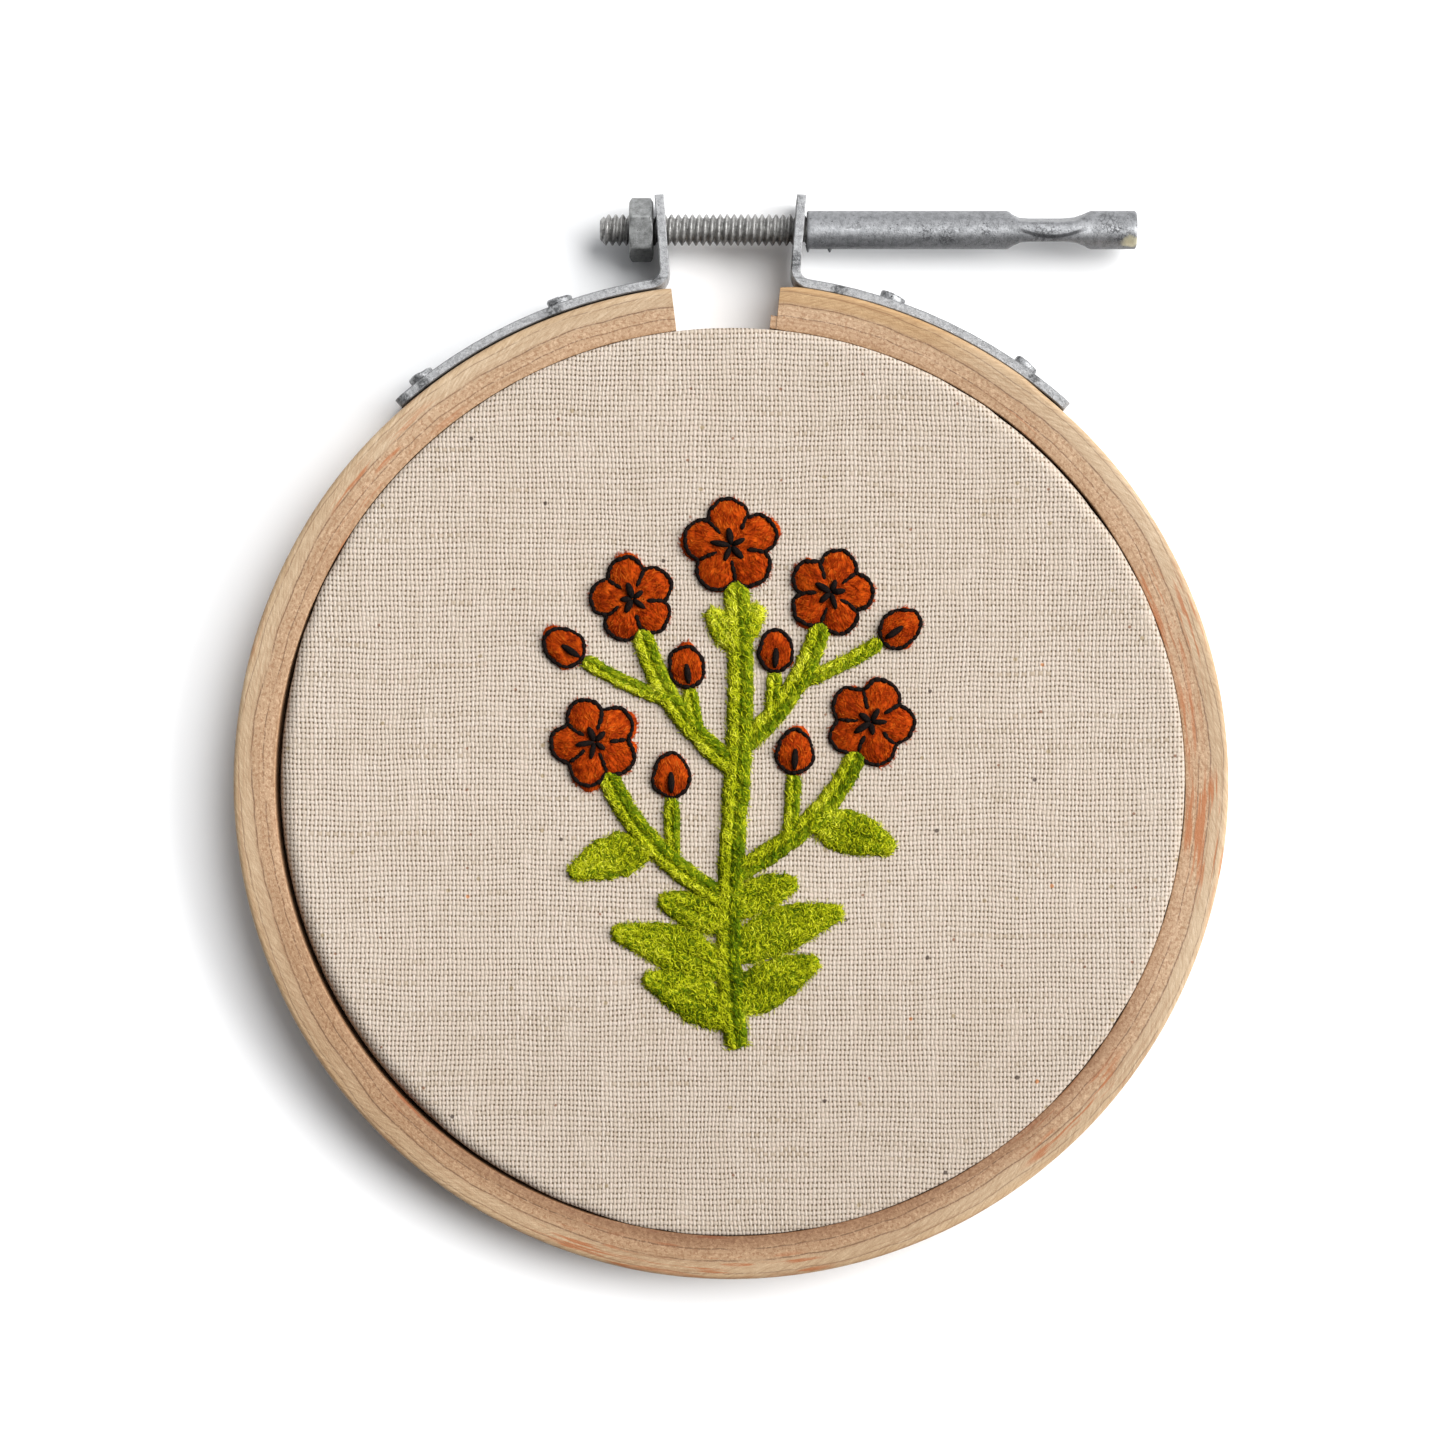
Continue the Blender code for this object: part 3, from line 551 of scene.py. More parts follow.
def beech_look(name, bore, thickness, warmth):
    """Bent, laminated beech: plies, broken glue lines, flecks inside and slanting grain outside."""
    look = Look(name, roughness=0.66, coat_weight=0.02, coat_roughness=0.5)
    x, y, z = look.split(look.vector("SUBTRACT", look.place, (0.0, HOOP_Y, 0.0)))
    radius = look.length(x, y)
    turn = x.math("ARCTAN2", y * -1.0)
    arc = turn * RING_RADIUS

    def stretched(out, round_the_ring, up, detail=2.0, roughness=0.5, start=0.0):
        """Noise with its own grain size out, round and up, given as counts a metre."""
        spread = look.join(radius * out + start, arc * round_the_ring, z * up)
        return look.noise(spread, 1.0, detail, roughness)

    waver = stretched(0.0, 34.0, 70.0, 3.0, 0.6)
    fine_waver = stretched(0.0, 420.0, 600.0)
    level = (radius - bore) / thickness
    depth = (fine_waver - 0.5) * 0.045 + ((waver - 0.5) * 0.38 + level)
    wood = look.ramp(depth, PLIES)
    for middle, width, share, pace in GLUE_LINES:
        broken = stretched(0.0, pace, 300.0, 3.0, 0.65, middle * 90.0).remap(0.3, 0.48)
        line = abs(depth - middle).remap(width, width * 0.25) * broken * share
        wood = look.blend(line, wood, (0.15, 0.08, 0.04))

    # Grainy flecks in the inner plies, fine slanting fibres in the outer ones
    outer_half = depth.remap(0.46, 0.66)
    inner_half = 1.0 - outer_half
    fleck = stretched(2100.0, 1500.0, 2100.0, 3.0, 0.65).remap(0.45, 0.63)
    wood = look.blend(fleck * inner_half * 0.62, wood, (0.27, 0.13, 0.055))
    pale = stretched(2300.0, 1900.0, 2300.0, 3.0, 0.65, 40.0).remap(0.5, 0.66)
    wood = look.blend(pale * inner_half * 0.48, wood, (0.7, 0.5, 0.33))
    slant = look.join((arc * 0.42 + radius) * 3300.0, (radius * -0.42 + arc) * 360.0, z * 900.0)
    fibres = look.noise(slant, 1.0, 3.0, 0.6)
    wood = look.blend(fibres.remap(0.5, 0.66) * outer_half * 0.42, wood, (0.3, 0.18, 0.088))
    wood = look.blend(fibres.remap(0.48, 0.34) * outer_half * 0.35, wood, (0.68, 0.54, 0.38))
    grain = stretched(2300.0, 48.0, 900.0, 4.0, 0.65)
    wood = look.blend(grain.remap(0.52, 0.66, 0.0, 0.42), wood, (0.29, 0.16, 0.08))

    # Orange-brown streaks along the grain in some places only, none by the clamp
    where = stretched(60.0, 26.0, 0.0, 2.0, 0.5, 9.0).remap(0.49, 0.59)
    streak = stretched(1300.0, 70.0, 500.0, 3.0, 0.6, 5.0).remap(0.52, 0.63, 0.0, 0.88)
    past_clamp = turn.cosine().remap(-0.92, -0.72)
    wood = look.blend(streak * (where * past_clamp), wood, (0.38, 0.13, 0.04))

    # Slow changes of tone, and painted shade: the wood darker away from the clamp, most round the lower
    # left, away from the light, and darker still at its bore near the bottom, in the gap by the cloth
    patch = stretched(120.0, 35.0, 0.0, 2.0)
    wood = look.tint(1.0, wood, look.ramp(patch, ((0.32, (0.87, 0.83, 0.78)), (0.62, (1.0, 1.0, 1.0)))))
    # Painted shade on the side away from the light
    away = (turn + 0.45).cosine().remap(-0.1, 1.0)
    wood = look.tint(away * 0.7, wood, (0.76, 0.68, 0.58))
    golden = (turn - GOLDEN_TURN).cosine().remap(0.93, 0.99) * outer_half
    wood = look.tint(golden, wood, (0.86, 0.74, 0.56))
    # Painted shade at the bore near the bottom, where the cloth meets the ring
    bore_shade = level.remap(0.55, 0.02) * (turn - 0.2).cosine().remap(0.25, 0.95)
    wood = look.tint(bore_shade, wood, (0.62, 0.52, 0.44))
    look.set("Base Color", look.tint(1.0, wood, warmth))
    look.set("Roughness", grain.remap(0.3, 0.75, 0.56, 0.78))
    look.bump(fleck * -0.35 + (fibres * 0.6 + grain), 0.0001, 0.5)
    return look.material


def metal_look(name, bright, dark, roughness, mottle, speckle, pits, depth, marks=None):
    """Dull plated steel: cloudy patches, fine speckle, dark pits and a grainy skin."""
    look = Look(name, metallic=0.45)
    cloud = look.noise(look.place, mottle, 4.0, 0.65)
    skin = look.noise(look.place, mottle * 5.0, 3.0, 0.7)
    colour = look.ramp((skin - 0.5) * speckle + cloud, ((0.34, dark), (0.62, bright)))
    pit = look.noise(look.place, mottle * 2.2, 2.0, 0.6).remap(0.65, 0.72, 0.0, pits)
    stain = look.noise(look.place, mottle * 0.4, 3.0, 0.6).remap(0.62, 0.74, 0.0, pits * 0.6)
    pit = pit.math("MAXIMUM", stain)
    colour = look.blend(pit, colour, tuple(0.22 * part for part in dark))
    look.set("Base Color", marks(look, colour) if marks else colour)
    look.set("Roughness", pit * 0.25 + skin.remap(0.25, 0.75, roughness - 0.08, roughness + 0.16))
    look.bump(skin * 0.6 + cloud - pit, depth, 0.7)
    return look.material


def near_place(look, where, spot, reach):
    """A share that falls from 1 at a spot to 0 at its reach."""
    return look.vector("DISTANCE", where, tuple(spot), "Value").remap(reach, reach * 0.45)


def on_tube(along, down):
    """The point on the tube's upper side at a place along it and a distance below its axis."""
    return along, AXIS_Y - down, AXIS_Z + sqrt(TUBE_RADIUS ** 2 - down ** 2)


def rod_underside_shade(look, colour):
    """Painted shade on the thread's underside."""
    y = look.split(look.place)[1]
    return look.tint(y.remap(AXIS_Y - 0.0004, AXIS_Y - 0.0025), colour, ROD_UNDERSIDE_SHADE)


def tube_wear_and_painted_light(look, colour):
    """Painted highlight along the front, painted shade underneath and along the folded neck; plating
    pitted and cracked, and a brassy end.
    """
    x, y, _ = look.split(look.place)
    # Painted highlight: a bright band along the tube's front
    painted_highlight_band = abs(y - (AXIS_Y + PAINTED_HIGHLIGHT_HEIGHT)).remap(0.0012, 0.0)
    colour = look.tint(painted_highlight_band, colour, TUBE_PAINTED_HIGHLIGHT)
    # Painted shade on the tube's underside
    colour = look.tint(y.remap(AXIS_Y - 0.0018, AXIS_Y - 0.0031), colour, TUBE_UNDERSIDE_SHADE)
    pitted = look.noise(look.place, 3400.0, 3.0, 0.7).remap(0.52, 0.66)
    pitted = pitted * x.remap(0.015, 0.024, 0.05, 0.55)
    colour = look.blend(pitted, colour, (0.085, 0.087, 0.092))
    wandering = look.shift(look.place, 900.0, 0.001)
    crack = abs(look.noise(look.place, 1100.0, 3.0, 0.6) - 0.5).remap(0.055, 0.018, 0.0, 0.6)
    for along, down, reach in TUBE_CRACKS:
        near = near_place(look, wandering, on_tube(along, down), reach)
        colour = look.blend(near * crack, colour, (0.02, 0.02, 0.022))
    # Painted shade along the fold of the pinched neck
    from_middle = (x - NECK_MIDDLE) / NECK_HALF_LENGTH
    fold = from_middle * from_middle * 0.0011 + (AXIS_Y - 0.0013)
    fold_shade = abs(y - fold).remap(0.00042, 0.00012)
    in_neck = abs(from_middle).remap(1.1, 0.8, 0.0, 0.8)
    colour = look.blend(fold_shade * in_neck, colour, (0.03, 0.03, 0.033))
    brassy = near_place(look, wandering, on_tube(*BRASS_PLACE), BRASS_REACH)
    return look.blend(brassy * 0.8, colour, (0.64, 0.59, 0.4))


def strap_stains_and_painted_shade(look, colour):
    """Painted shade along the long edges of the straps' feet, and stained patches at known places."""
    x, y, _ = look.split(look.place)
    radius = look.length(x, y - HOOP_Y)
    middle = STRAP_LOW + STRAP_THICKNESS / 2
    # Painted shade along the feet's rounded long edges
    rim = abs(radius - middle).remap(STRAP_THICKNESS * 0.34, STRAP_THICKNESS * 0.47)
    foot = radius.remap(middle + STRAP_THICKNESS * 0.6, middle + STRAP_THICKNESS * 0.52)
    colour = look.blend(rim * foot * 0.55, colour, (0.12, 0.122, 0.126))
    wandering = look.shift(look.place, 1100.0, 0.0012)
    streaky = look.noise(look.place, 2400.0, 3.0, 0.7).remap(0.42, 0.56, 0.35, 0.95)
    for angle, distance, reach in STRAP_STAINS:
        near = near_place(look, wandering, around_z(angle, distance, STRAP_TOP), reach)
        colour = look.blend(near * streaky, colour, (0.06, 0.062, 0.064))
    return colour


def wool_look(name, dark, middle, light, downward_shade, fineness=1700.0, cloudiness=230.0):
    """Loose dyed wool whose tone shifts from fibre to fibre, with painted shade that darkens it slowly
    down the cloth.
    """
    look = Look(name, roughness=0.95, specular_ior_level=0.06)
    fibre = look.noise(look.place, fineness, 2.0, 0.6)
    cloud = look.noise(look.place, cloudiness, 2.0)
    # Painted shade: the wool darker down the cloth
    height = look.split(look.place)[1].remap(-0.045, 0.035, -downward_shade, downward_shade)
    tone = fibre * 0.55 + cloud * 0.45 + height
    look.set("Base Color", look.ramp(tone, ((0.34, dark), (0.5, middle), (0.66, light))))
    look.bump(fibre, 0.00012, 0.7)
    return look.material


def black_thread_look():
    """Black cotton sewing thread, dull and a little brown."""
    look = Look("black_thread", roughness=0.9, specular_ior_level=0.05)
    twist = look.noise(look.place, 4200.0, 2.0)
    tones = ((0.35, (0.0035, 0.0025, 0.0025)), (0.75, (0.016, 0.01, 0.008)))
    look.set("Base Color", look.ramp(twist, tones))
    look.bump(twist, 0.00008, 0.6)
    return look.material


def floor_look():
    """Plain white paper."""
    look = Look("studio_floor", roughness=0.9)
    tone = look.noise(look.place, 3.0, 1.0)
    look.set("Base Color", look.ramp(tone, ((0.3, (0.92, 0.92, 0.92)), (0.7, (0.94, 0.94, 0.94)))))
    return look.material


METALS = (
    # name, bright, dark, roughness, mottle a metre, speckle, pits, depth, marks and painted light
    ("galvanised", (0.41, 0.412, 0.417), (0.22, 0.222, 0.226), 0.44, 1900.0, 1.1, 0.75, 0.00012,
     strap_stains_and_painted_shade),
    ("rivet_zinc", (0.42, 0.425, 0.43), (0.07, 0.07, 0.075), 0.34, 700.0, 0.7, 0.9, 0.00014),
    ("nut_steel", (0.3, 0.305, 0.3), (0.15, 0.152, 0.15), 0.42, 1100.0, 0.5, 0.4, 0.00006),
    ("rod_steel", (0.4, 0.395, 0.38), (0.15, 0.145, 0.14), 0.34, 1300.0, 0.6, 0.8, 0.00006, rod_underside_shade),
    ("tube_steel", (0.255, 0.258, 0.265), (0.155, 0.158, 0.163), 0.4, 1000.0, 0.7, 0.7, 0.00012,
     tube_wear_and_painted_light),
)


# Meshes
def put_in_scene(name, data):
    """A new object in the scene."""
    made = bpy.data.objects.new(name, data)
    bpy.context.scene.collection.objects.link(made)
    return made


class Shape:
    """Points and faces gathered strip by strip, then made into one piece."""

    def __init__(self):
        self.points = []
        self.faces = []
        self.slots = []

    def rows(self, rows, closed=True, looped=False, capped=True, slot=0):
        """Skin rows of points. Each row may close on itself, and the last may meet the first."""
        first = len(self.points)
        count = len(rows[0])
        for row in rows:
            self.points.extend(row)
        spans = len(rows) if looped else len(rows) - 1
        across = count if closed else count - 1
        for row in range(spans):
            near = first + row * count
            far = first + (row + 1) % len(rows) * count
            for column in range(across):
                after = (column + 1) % count
                self.faces.append((near + column, near + after, far + after, far + column))
                self.slots.append(slot)
        if capped and closed and not looped:
            last = first + (len(rows) - 1) * count
            self.faces.append(tuple(reversed(range(first, first + count))))
            self.faces.append(tuple(range(last, last + count)))
            self.slots.extend((slot, slot))

    def tube(self, path, radii, sides, looped=False, slot=0):
        """A round strand along a path, with a radius at each of its points."""
        rows = []
        for index, middle in enumerate(path):
            before = path[index - 1] if looped or index else middle
            after = path[(index + 1) % len(path)] if looped or index + 1 < len(path) else middle
            along = (after - before).normalized()
            side = along.cross(Vector((0.0, 0.0, 1.0)))
            if side.length < 1e-6:
                side = Vector((1.0, 0.0, 0.0))
            side.normalize()
            up = side.cross(along)
            row = []
            for step in range(sides):
                turn = tau * step / sides
                row.append(middle + (side * cos(turn) + up * sin(turn)) * radii[index])
            rows.append(row)
        self.rows(rows, looped=looped, slot=slot)

    def piece(self, name, looks, body="hoop", sharp=None, nodes=()):
        """Make the mesh object, let it ride on a body and stand for the given solids."""
        mesh = bpy.data.meshes.new(name)
        mesh.from_pydata([tuple(point) for point in self.points], [], self.faces)
        for look in looks:
            mesh.materials.append(look)
        if len(looks) > 1:
            mesh.polygons.foreach_set("material_index", self.slots)
        mesh.validate()
        mesh.shade_smooth()
        if sharp is not None:
            mesh.set_sharp_from_angle(angle=radians(sharp))
        made = put_in_scene(name, mesh)
        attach(made, body)
        if nodes:
            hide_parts(*nodes)
        return made


def outward(angle, length=1.0, height=0.0):
    """The way out from the hoop's middle at a ring angle."""
    turn = radians(angle)
    return Vector((length * sin(turn), length * cos(turn), height))


def around_z(angle, radius, height):
    """A point at a ring angle."""
    turn = radians(angle)
    return Vector((radius * sin(turn), HOOP_Y + radius * cos(turn), height))


def around_x(place, radius, turn):
    """A point round the screw's axis, with its angle in radians from +Y towards +Z."""
    return Vector((place, AXIS_Y + radius * cos(turn), AXIS_Z + radius * sin(turn)))


def ring_x(place, radius, sides):
    """A circle of points round the screw's axis."""
    return [around_x(place, radius, -tau * step / sides) for step in range(sides)]


def corner_arc(centre_out, centre_up, radius, first, last, steps=EDGE_STEPS):
    """Points (out, up) on an arc between two angles, in degrees from straight out."""
    points = []
    for step in range(steps + 1):
        turn = radians(first + (last - first) * step / steps)
        points.append((centre_out + radius * cos(turn), centre_up + radius * sin(turn)))
    return points


def ring_section(bore, outside, top, edges, on_top=()):
    """A ring's section: rounded edges, from low outside round to low inside, and points on top."""
    low_out, high_out, high_in, low_in = edges
    section = corner_arc(outside - low_out, low_out, low_out, -90.0, 0.0)
    section += corner_arc(outside - high_out, top - high_out, high_out, 0.0, 90.0)
    section += [(bore + (outside - bore) * share, top) for share in on_top]
    section += corner_arc(bore + high_in, top - high_in, high_in, 90.0, 180.0)
    return section + corner_arc(bore + low_in, low_in, low_in, 180.0, 270.0)


def under_right_strap(angle):
    """How far the ring swells to meet the right strap at a ring angle, from 0 to 1."""
    rise = min(1.0, max(0.0, (angle - RIGHT_END_ANGLE - 0.5) / 1.5))
    fall = min(1.0, max(0.0, (STRAP_END_ANGLE - angle) / 3.0))
    return rise * fall


def make_outer_ring(look):
    """Sweep the split ring, a little uneven from sanding, with its inner ply run on as a tongue."""
    shape = Shape()

    def sweep(first, last, stations, section):
        rows = []
        for index in range(stations + 1):
            share = index / stations
            angle = first + (last - first) * share
            inset = END_EASE * (min(index, stations - index) == 0)
            wander = 0.00006 * noise.noise(outward(angle, 4.0))
            outside = wander - inset + STRAP_FILL * under_right_strap(angle)
            bore = wander * 0.3 + inset + LOOSE_BORE * (1.0 - cloth_snugness(angle))
            row = []
            for out, up in section:
                shift = outside if out > RING_RADIUS - RING_THICKNESS / 2 else bore
                row.append(around_z(angle, out + shift, up))
            rows.append(row)
        shape.rows(rows)

    edges = (RING_EDGE, RING_EDGE, RING_INNER_EDGE, RING_INNER_EDGE)
    section = ring_section(RING_BORE, RING_RADIUS, RING_TOP, edges, ON_RING_TOP)
    sweep(RIGHT_END_ANGLE, 360.0 + LEFT_END_ANGLE, RING_STATIONS, section)
    bore, outside = RING_BORE + TONGUE_SUNK, RING_BORE + TONGUE_THICKNESS
    edges = (TONGUE_EDGE, TONGUE_EDGE, RING_INNER_EDGE, RING_INNER_EDGE)
    section = ring_section(bore, outside, RING_TOP - TONGUE_SUNK, edges, ON_RING_TOP)
    sweep(TONGUE_ANGLE, RIGHT_END_ANGLE + TONGUE_OVERLAP, TONGUE_STATIONS, section)
    return shape.piece("beech_outer_ring", [look], sharp=40.0, nodes=["outer_ring"])


def make_inner_ring(look):
    """Turn the closed inner ring, rounded where the cloth bends over it."""
    outside = INNER_HIGH.x
    edges = (INNER_RING_EDGE, INNER_RING_SHOULDER, INNER_RING_EDGE / 2, INNER_RING_EDGE / 2)
    section = ring_section(outside - INNER_RING_THICKNESS, outside, INNER_HIGH.z, edges)
    shape = Shape()
    turns = [360.0 * step / RING_STATIONS for step in range(RING_STATIONS)]
    shape.rows([[around_z(turn, *point) for point in section] for turn in turns], looped=True)
    return shape.piece("beech_inner_ring", [look], sharp=40.0, nodes=["inner_ring"])


def cloth_ripple(x, y, radius):
    """Slight unevenness of the stretched cloth, none at its rim."""
    calm = min(1.0, max(0.0, (CLOTH_RADIUS - CLOTH_SHOULDER - radius) / 0.01))
    slow = noise.noise(Vector((x * 55.0, y * 55.0, 2.0)))
    return -0.0001 * calm * (0.5 + slow)


def cloth_snugness(angle):
    """How closely the cloth meets the outer ring at a ring angle, from 0 to 1."""
    snug = 1.0
    for middle, spread, loose in LOOSE_PLACES:
        away = (angle - middle + 180.0) % 360.0 - 180.0
        snug -= loose * exp(-(away / spread) ** 2)
    slow = noise.noise(outward(angle, 3.0, 4.0))
    quick = noise.noise(outward(angle, 17.0, 9.0))
    return min(1.0, max(0.0, snug + 0.25 * slow + 0.2 * quick))


def make_cloth(look):
    """Turn the stretched cloth: its face, its rounded shoulder and its skirt between the rings."""
    level = CLOTH_TOP - CLOTH_SHOULDER
    centre = CLOTH_RADIUS - CLOTH_SHOULDER
    inner = CLOTH_SHOULDER - CLOTH_THICKNESS
    inside = [(CLOTH_RADIUS - CLOTH_THICKNESS, CLOTH_LOW.z)]
    inside += corner_arc(centre, level, inner, 0.0, 90.0, 6)
    inside += [(centre * share, CLOTH_TOP - CLOTH_THICKNESS) for share in (0.66, 0.33, 0.01)]
    columns = []
    for step in range(CLOTH_STATIONS):
        angle = -360.0 * step / CLOTH_STATIONS
        snug = cloth_snugness(angle)
        width = LOOSE_SHOULDER + (SNUG_SHOULDER - LOOSE_SHOULDER) * snug
        drop = LOOSE_DROP + (SNUG_DROP - LOOSE_DROP) * snug
        outside = CLOTH_RADIUS + LOOSE_REACH + (SNUG_REACH - LOOSE_REACH) * snug
        rim = outside - width
        profile = [(rim * ring / 44, CLOTH_TOP) for ring in range(1, 45)]
        for step in range(1, 13):
            turn = radians(90.0 * step / 12)
            profile.append((rim + width * sin(turn), CLOTH_TOP - drop * (1.0 - cos(turn))))
        profile.append((outside, CLOTH_TOP - drop - 0.0006))
        profile += [(CLOTH_RADIUS, level), (CLOTH_RADIUS, CLOTH_LOW.z), *inside]
        column = []
        for radius, height in profile:
            point = around_z(angle, radius, height)
            if height == CLOTH_TOP:
                point.z += cloth_ripple(point.x, point.y, radius)
            column.append(point)
        columns.append(column)
    shape = Shape()
    shape.rows([list(row) for row in zip(*columns)])
    made = shape.piece("linen_cloth", [look], sharp=60.0, nodes=["cloth"])
    return made


def make_rod(look):
    """Cut a true helical thread on the rod, with a chamfered end and a plain tang."""
    left = ROD_LOW.x
    crest = (ROD_HIGH.y - ROD_LOW.y) / 2
    thread_end = TUBE_LOW.x + ROD_PITCH
    sides = ROD_SIDES
    count = int((thread_end - left) / ROD_PITCH * ROWS_PER_PITCH)
    rows = []
    for index in range(count + 1):
        place = left + ROD_PITCH * index / ROWS_PER_PITCH
        row = []
        for step in range(sides):
            turn = -tau * step / sides
            phase = (place / ROD_PITCH + turn / tau) % 1.0
            ridge = min(1.0, max(0.0, 1.25 - 2.9 * abs(phase - 0.5)))
            limit = ROD_ROOT_RADIUS - 0.0003 + (place - left) * 1.1
            wear = 0.00003 * noise.noise(Vector((place * 900.0, turn * 1.3, 0.0)))
            radius = ROD_ROOT_RADIUS + (crest - ROD_ROOT_RADIUS) * ridge + wear
            row.append(around_x(place, min(radius, limit), turn))
        rows.append(row)
    rows += [ring_x(place, ROD_ROOT_RADIUS, sides) for place in (thread_end + 0.0002, ROD_HIGH.x)]
    shape = Shape()
    shape.rows(rows)
    return shape.piece("threaded_clamp_rod", [look], "clamp_screw", sharp=50.0, nodes=["threaded_rod"])


def pinch_share(place):
    """How far the tube is pressed flat at a place, smoothed between the table's rows."""
    if not PINCH[0][0] < place < PINCH[-1][0]:
        return 0.0
    for (near, low), (far, high) in zip(PINCH, PINCH[1:]):
        if place <= far:
            return low + (high - low) * (place - near) / (far - near)


def tube_row(place, radius, pinch):
    """A ring of the tube: a circle, or a circle pressed flat from two sides and widened."""
    tilt = radians(PINCH_TILT)
    limit = radius + (PINCH_HALF_THICKNESS - radius) * pinch
    row = []
    for step in range(TUBE_SIDES):
        turn = -tau * step / TUBE_SIDES
        reach = radius * cos(turn)
        pressed = reach / (1.0 + (abs(reach) / limit) ** 7) ** (1.0 / 7.0)
        across = reach + (pressed - reach) * min(1.0, pinch * 3.0)
        along = radius * sin(turn) * (1.0 + PINCH_SPREAD * pinch)
        y = across * cos(tilt) - along * sin(tilt)
        z = across * sin(tilt) + along * cos(tilt)
        row.append(Vector((place, AXIS_Y + y, AXIS_Z + z)))
    return row


def make_tube(look):
    """Loft the pinched handle, with its mouth open and a plated drip under it."""
    left = TUBE_LOW.x
    right = TUBE_HIGH.x - TUBE_WEAR
    rim = TUBE_RADIUS - TUBE_RIM
    rows = [tube_row(left + TANG_LENGTH, TUBE_BORE, 0.0), tube_row(left, TUBE_BORE, 0.0)]
    rows.append(tube_row(left, rim, 0.0))
    for index in range(TUBE_STATIONS + 1):
        place = left + TUBE_RIM + (right - left - 2.0 * TUBE_RIM) * index / TUBE_STATIONS
        rows.append(tube_row(place, TUBE_RADIUS, pinch_share(place)))
    rows.append(tube_row(right, rim, 0.0))
    rows.append(tube_row(right, TUBE_BORE, 0.0))
    rows.append(tube_row(right - TUBE_MOUTH_DEPTH, TUBE_BORE * 0.98, 0.0))
    shape = Shape()
    shape.rows(rows)
    low = AXIS_Y - TUBE_RADIUS
    for place, size in TUBE_DRIPS:
        path = [Vector((place, low + 0.0006 - 0.0011 * step / 3, AXIS_Z)) for step in range(4)]
        shape.tube(path, [size * share for share in (1.6, 1.2, 0.9, 0.3)], 10)
    return shape.piece("tube_clamp_handle", [look], "clamp_screw", sharp=50.0, nodes=["tube_handle"])


def make_nut(look):
    """Turn a hexagon whose corners are cut back by a cone at each face."""
    left = NUT_LOW.x
    thickness = NUT_HIGH.x - left
    apothem = NUT_ACROSS_FLATS / 2
    depths = [0.0, 0.00005, 0.0001, 0.0002, 0.0003, 0.0004, 0.0005, 0.0007]
    places = depths + [thickness - depth for depth in reversed(depths)]
    sides = NUT_SIDES
    rows = []
    for place in places:
        from_face = min(place, thickness - place)
        cone = apothem * 0.985 + from_face * NUT_CONE
        row = []
        for step in range(sides):
            turn = -tau * step / sides
            offset = (turn - radians(NUT_TURN)) % (pi / 3.0) - pi / 6.0
            flat = min(apothem / cos(offset), apothem / cos(pi / 6.0) - NUT_CORNER_WEAR)
            row.append(around_x(left + place, min(flat, cone), turn))
        rows.append(row)
    flare = NUT_BORE + NUT_BORE_FLARE
    bores = ((thickness, flare), (thickness - 0.0004, NUT_BORE), (0.0004, NUT_BORE), (0.0, flare))
    rows += [ring_x(left + place, radius, sides) for place, radius in bores]
    shape = Shape()
    shape.rows(rows, looped=True)
    return shape.piece("hexagon_nut", [look], "nut", sharp=32.0, nodes=["nut"])


def make_rivets(look):
    """Set a worn, slightly domed head on the strap at each rivet."""
    head = RIVET_HEAD_RADIUS
    rise = RIVET_HEAD_RISE
    profile = [(RIVET_SHANK_RADIUS, -RIVET_SHANK_LENGTH), (RIVET_SHANK_RADIUS, 0.0), (head * 0.96, 0.0)]
    profile += [(head, rise * 0.3), (head, rise * 0.7), (head * 0.96, rise * 0.86)]
    profile += [(head * 0.86, rise * 0.96), (head * 0.55, rise)]
    profile += [(head * 0.2, rise * 1.01), (head * 0.01, rise)]
    for number, (node, angle) in enumerate(RIVETS):
        away = outward(angle)
        level = Vector((0.0, 0.0, 1.0))
        side = away.cross(level)
        seat = Vector((0.0, HOOP_Y, AXIS_Z)) + away * RIVET_SEAT
        rows = []
        for radius, height in profile:
            row = []
            for step in range(RIVET_SIDES):
                turn = tau * step / RIVET_SIDES
                spoke = side * cos(turn) + level * sin(turn)
                dent = 1.0 + 0.07 * noise.noise(spoke * 1.7 + Vector((number * 5.0, height * 900.0, 0.0)))
                tilt = 1.0 - 0.12 * spoke.dot(side)
                row.append(seat + away * height * dent * tilt + spoke * radius * dent)
            rows.append(row)
        shape = Shape()
        shape.rows(rows)
        shape.piece(node + "_head", [look], sharp=45.0, nodes=[node])


# Embroidery
def curve_point(controls, share):
    """A point on the Bezier curve of any number of control points."""
    points = [Vector((*control, 0.0)) for control in controls]
    while len(points) > 1:
        points = [near.lerp(far, share) for near, far in zip(points, points[1:])]
    return points[0]


def curve_heading(controls, share, step):
    """The way a curve runs at a share of its length."""
    ahead = curve_point(controls, min(1.0, share + step))
    return (ahead - curve_point(controls, max(0.0, share - step))).normalized()


def place_at_height(controls, height):
    """The place on a rising curve at a given height up the cloth."""
    steps = 200
    points = [curve_point(controls, step / steps) for step in range(steps + 1)]
    nearest = min(points, key=lambda point: abs(point.y - height))
    return nearest.x, nearest.y


def stop_short(controls, flower, reach):
    """Add the end of a stem, a short way before the middle of its flower."""
    centre = Vector((*flower, 0.0))
    heading = (centre - Vector((*controls[-1], 0.0))).normalized()
    end = centre - heading * reach
    return (*controls, (end.x, end.y))


def stem_heading(controls):
    """The angle from +X at which a stem ends, in radians."""
    (near_x, near_y), (far_x, far_y) = controls[-2:]
    return atan2(far_y - near_y, far_x - near_x)


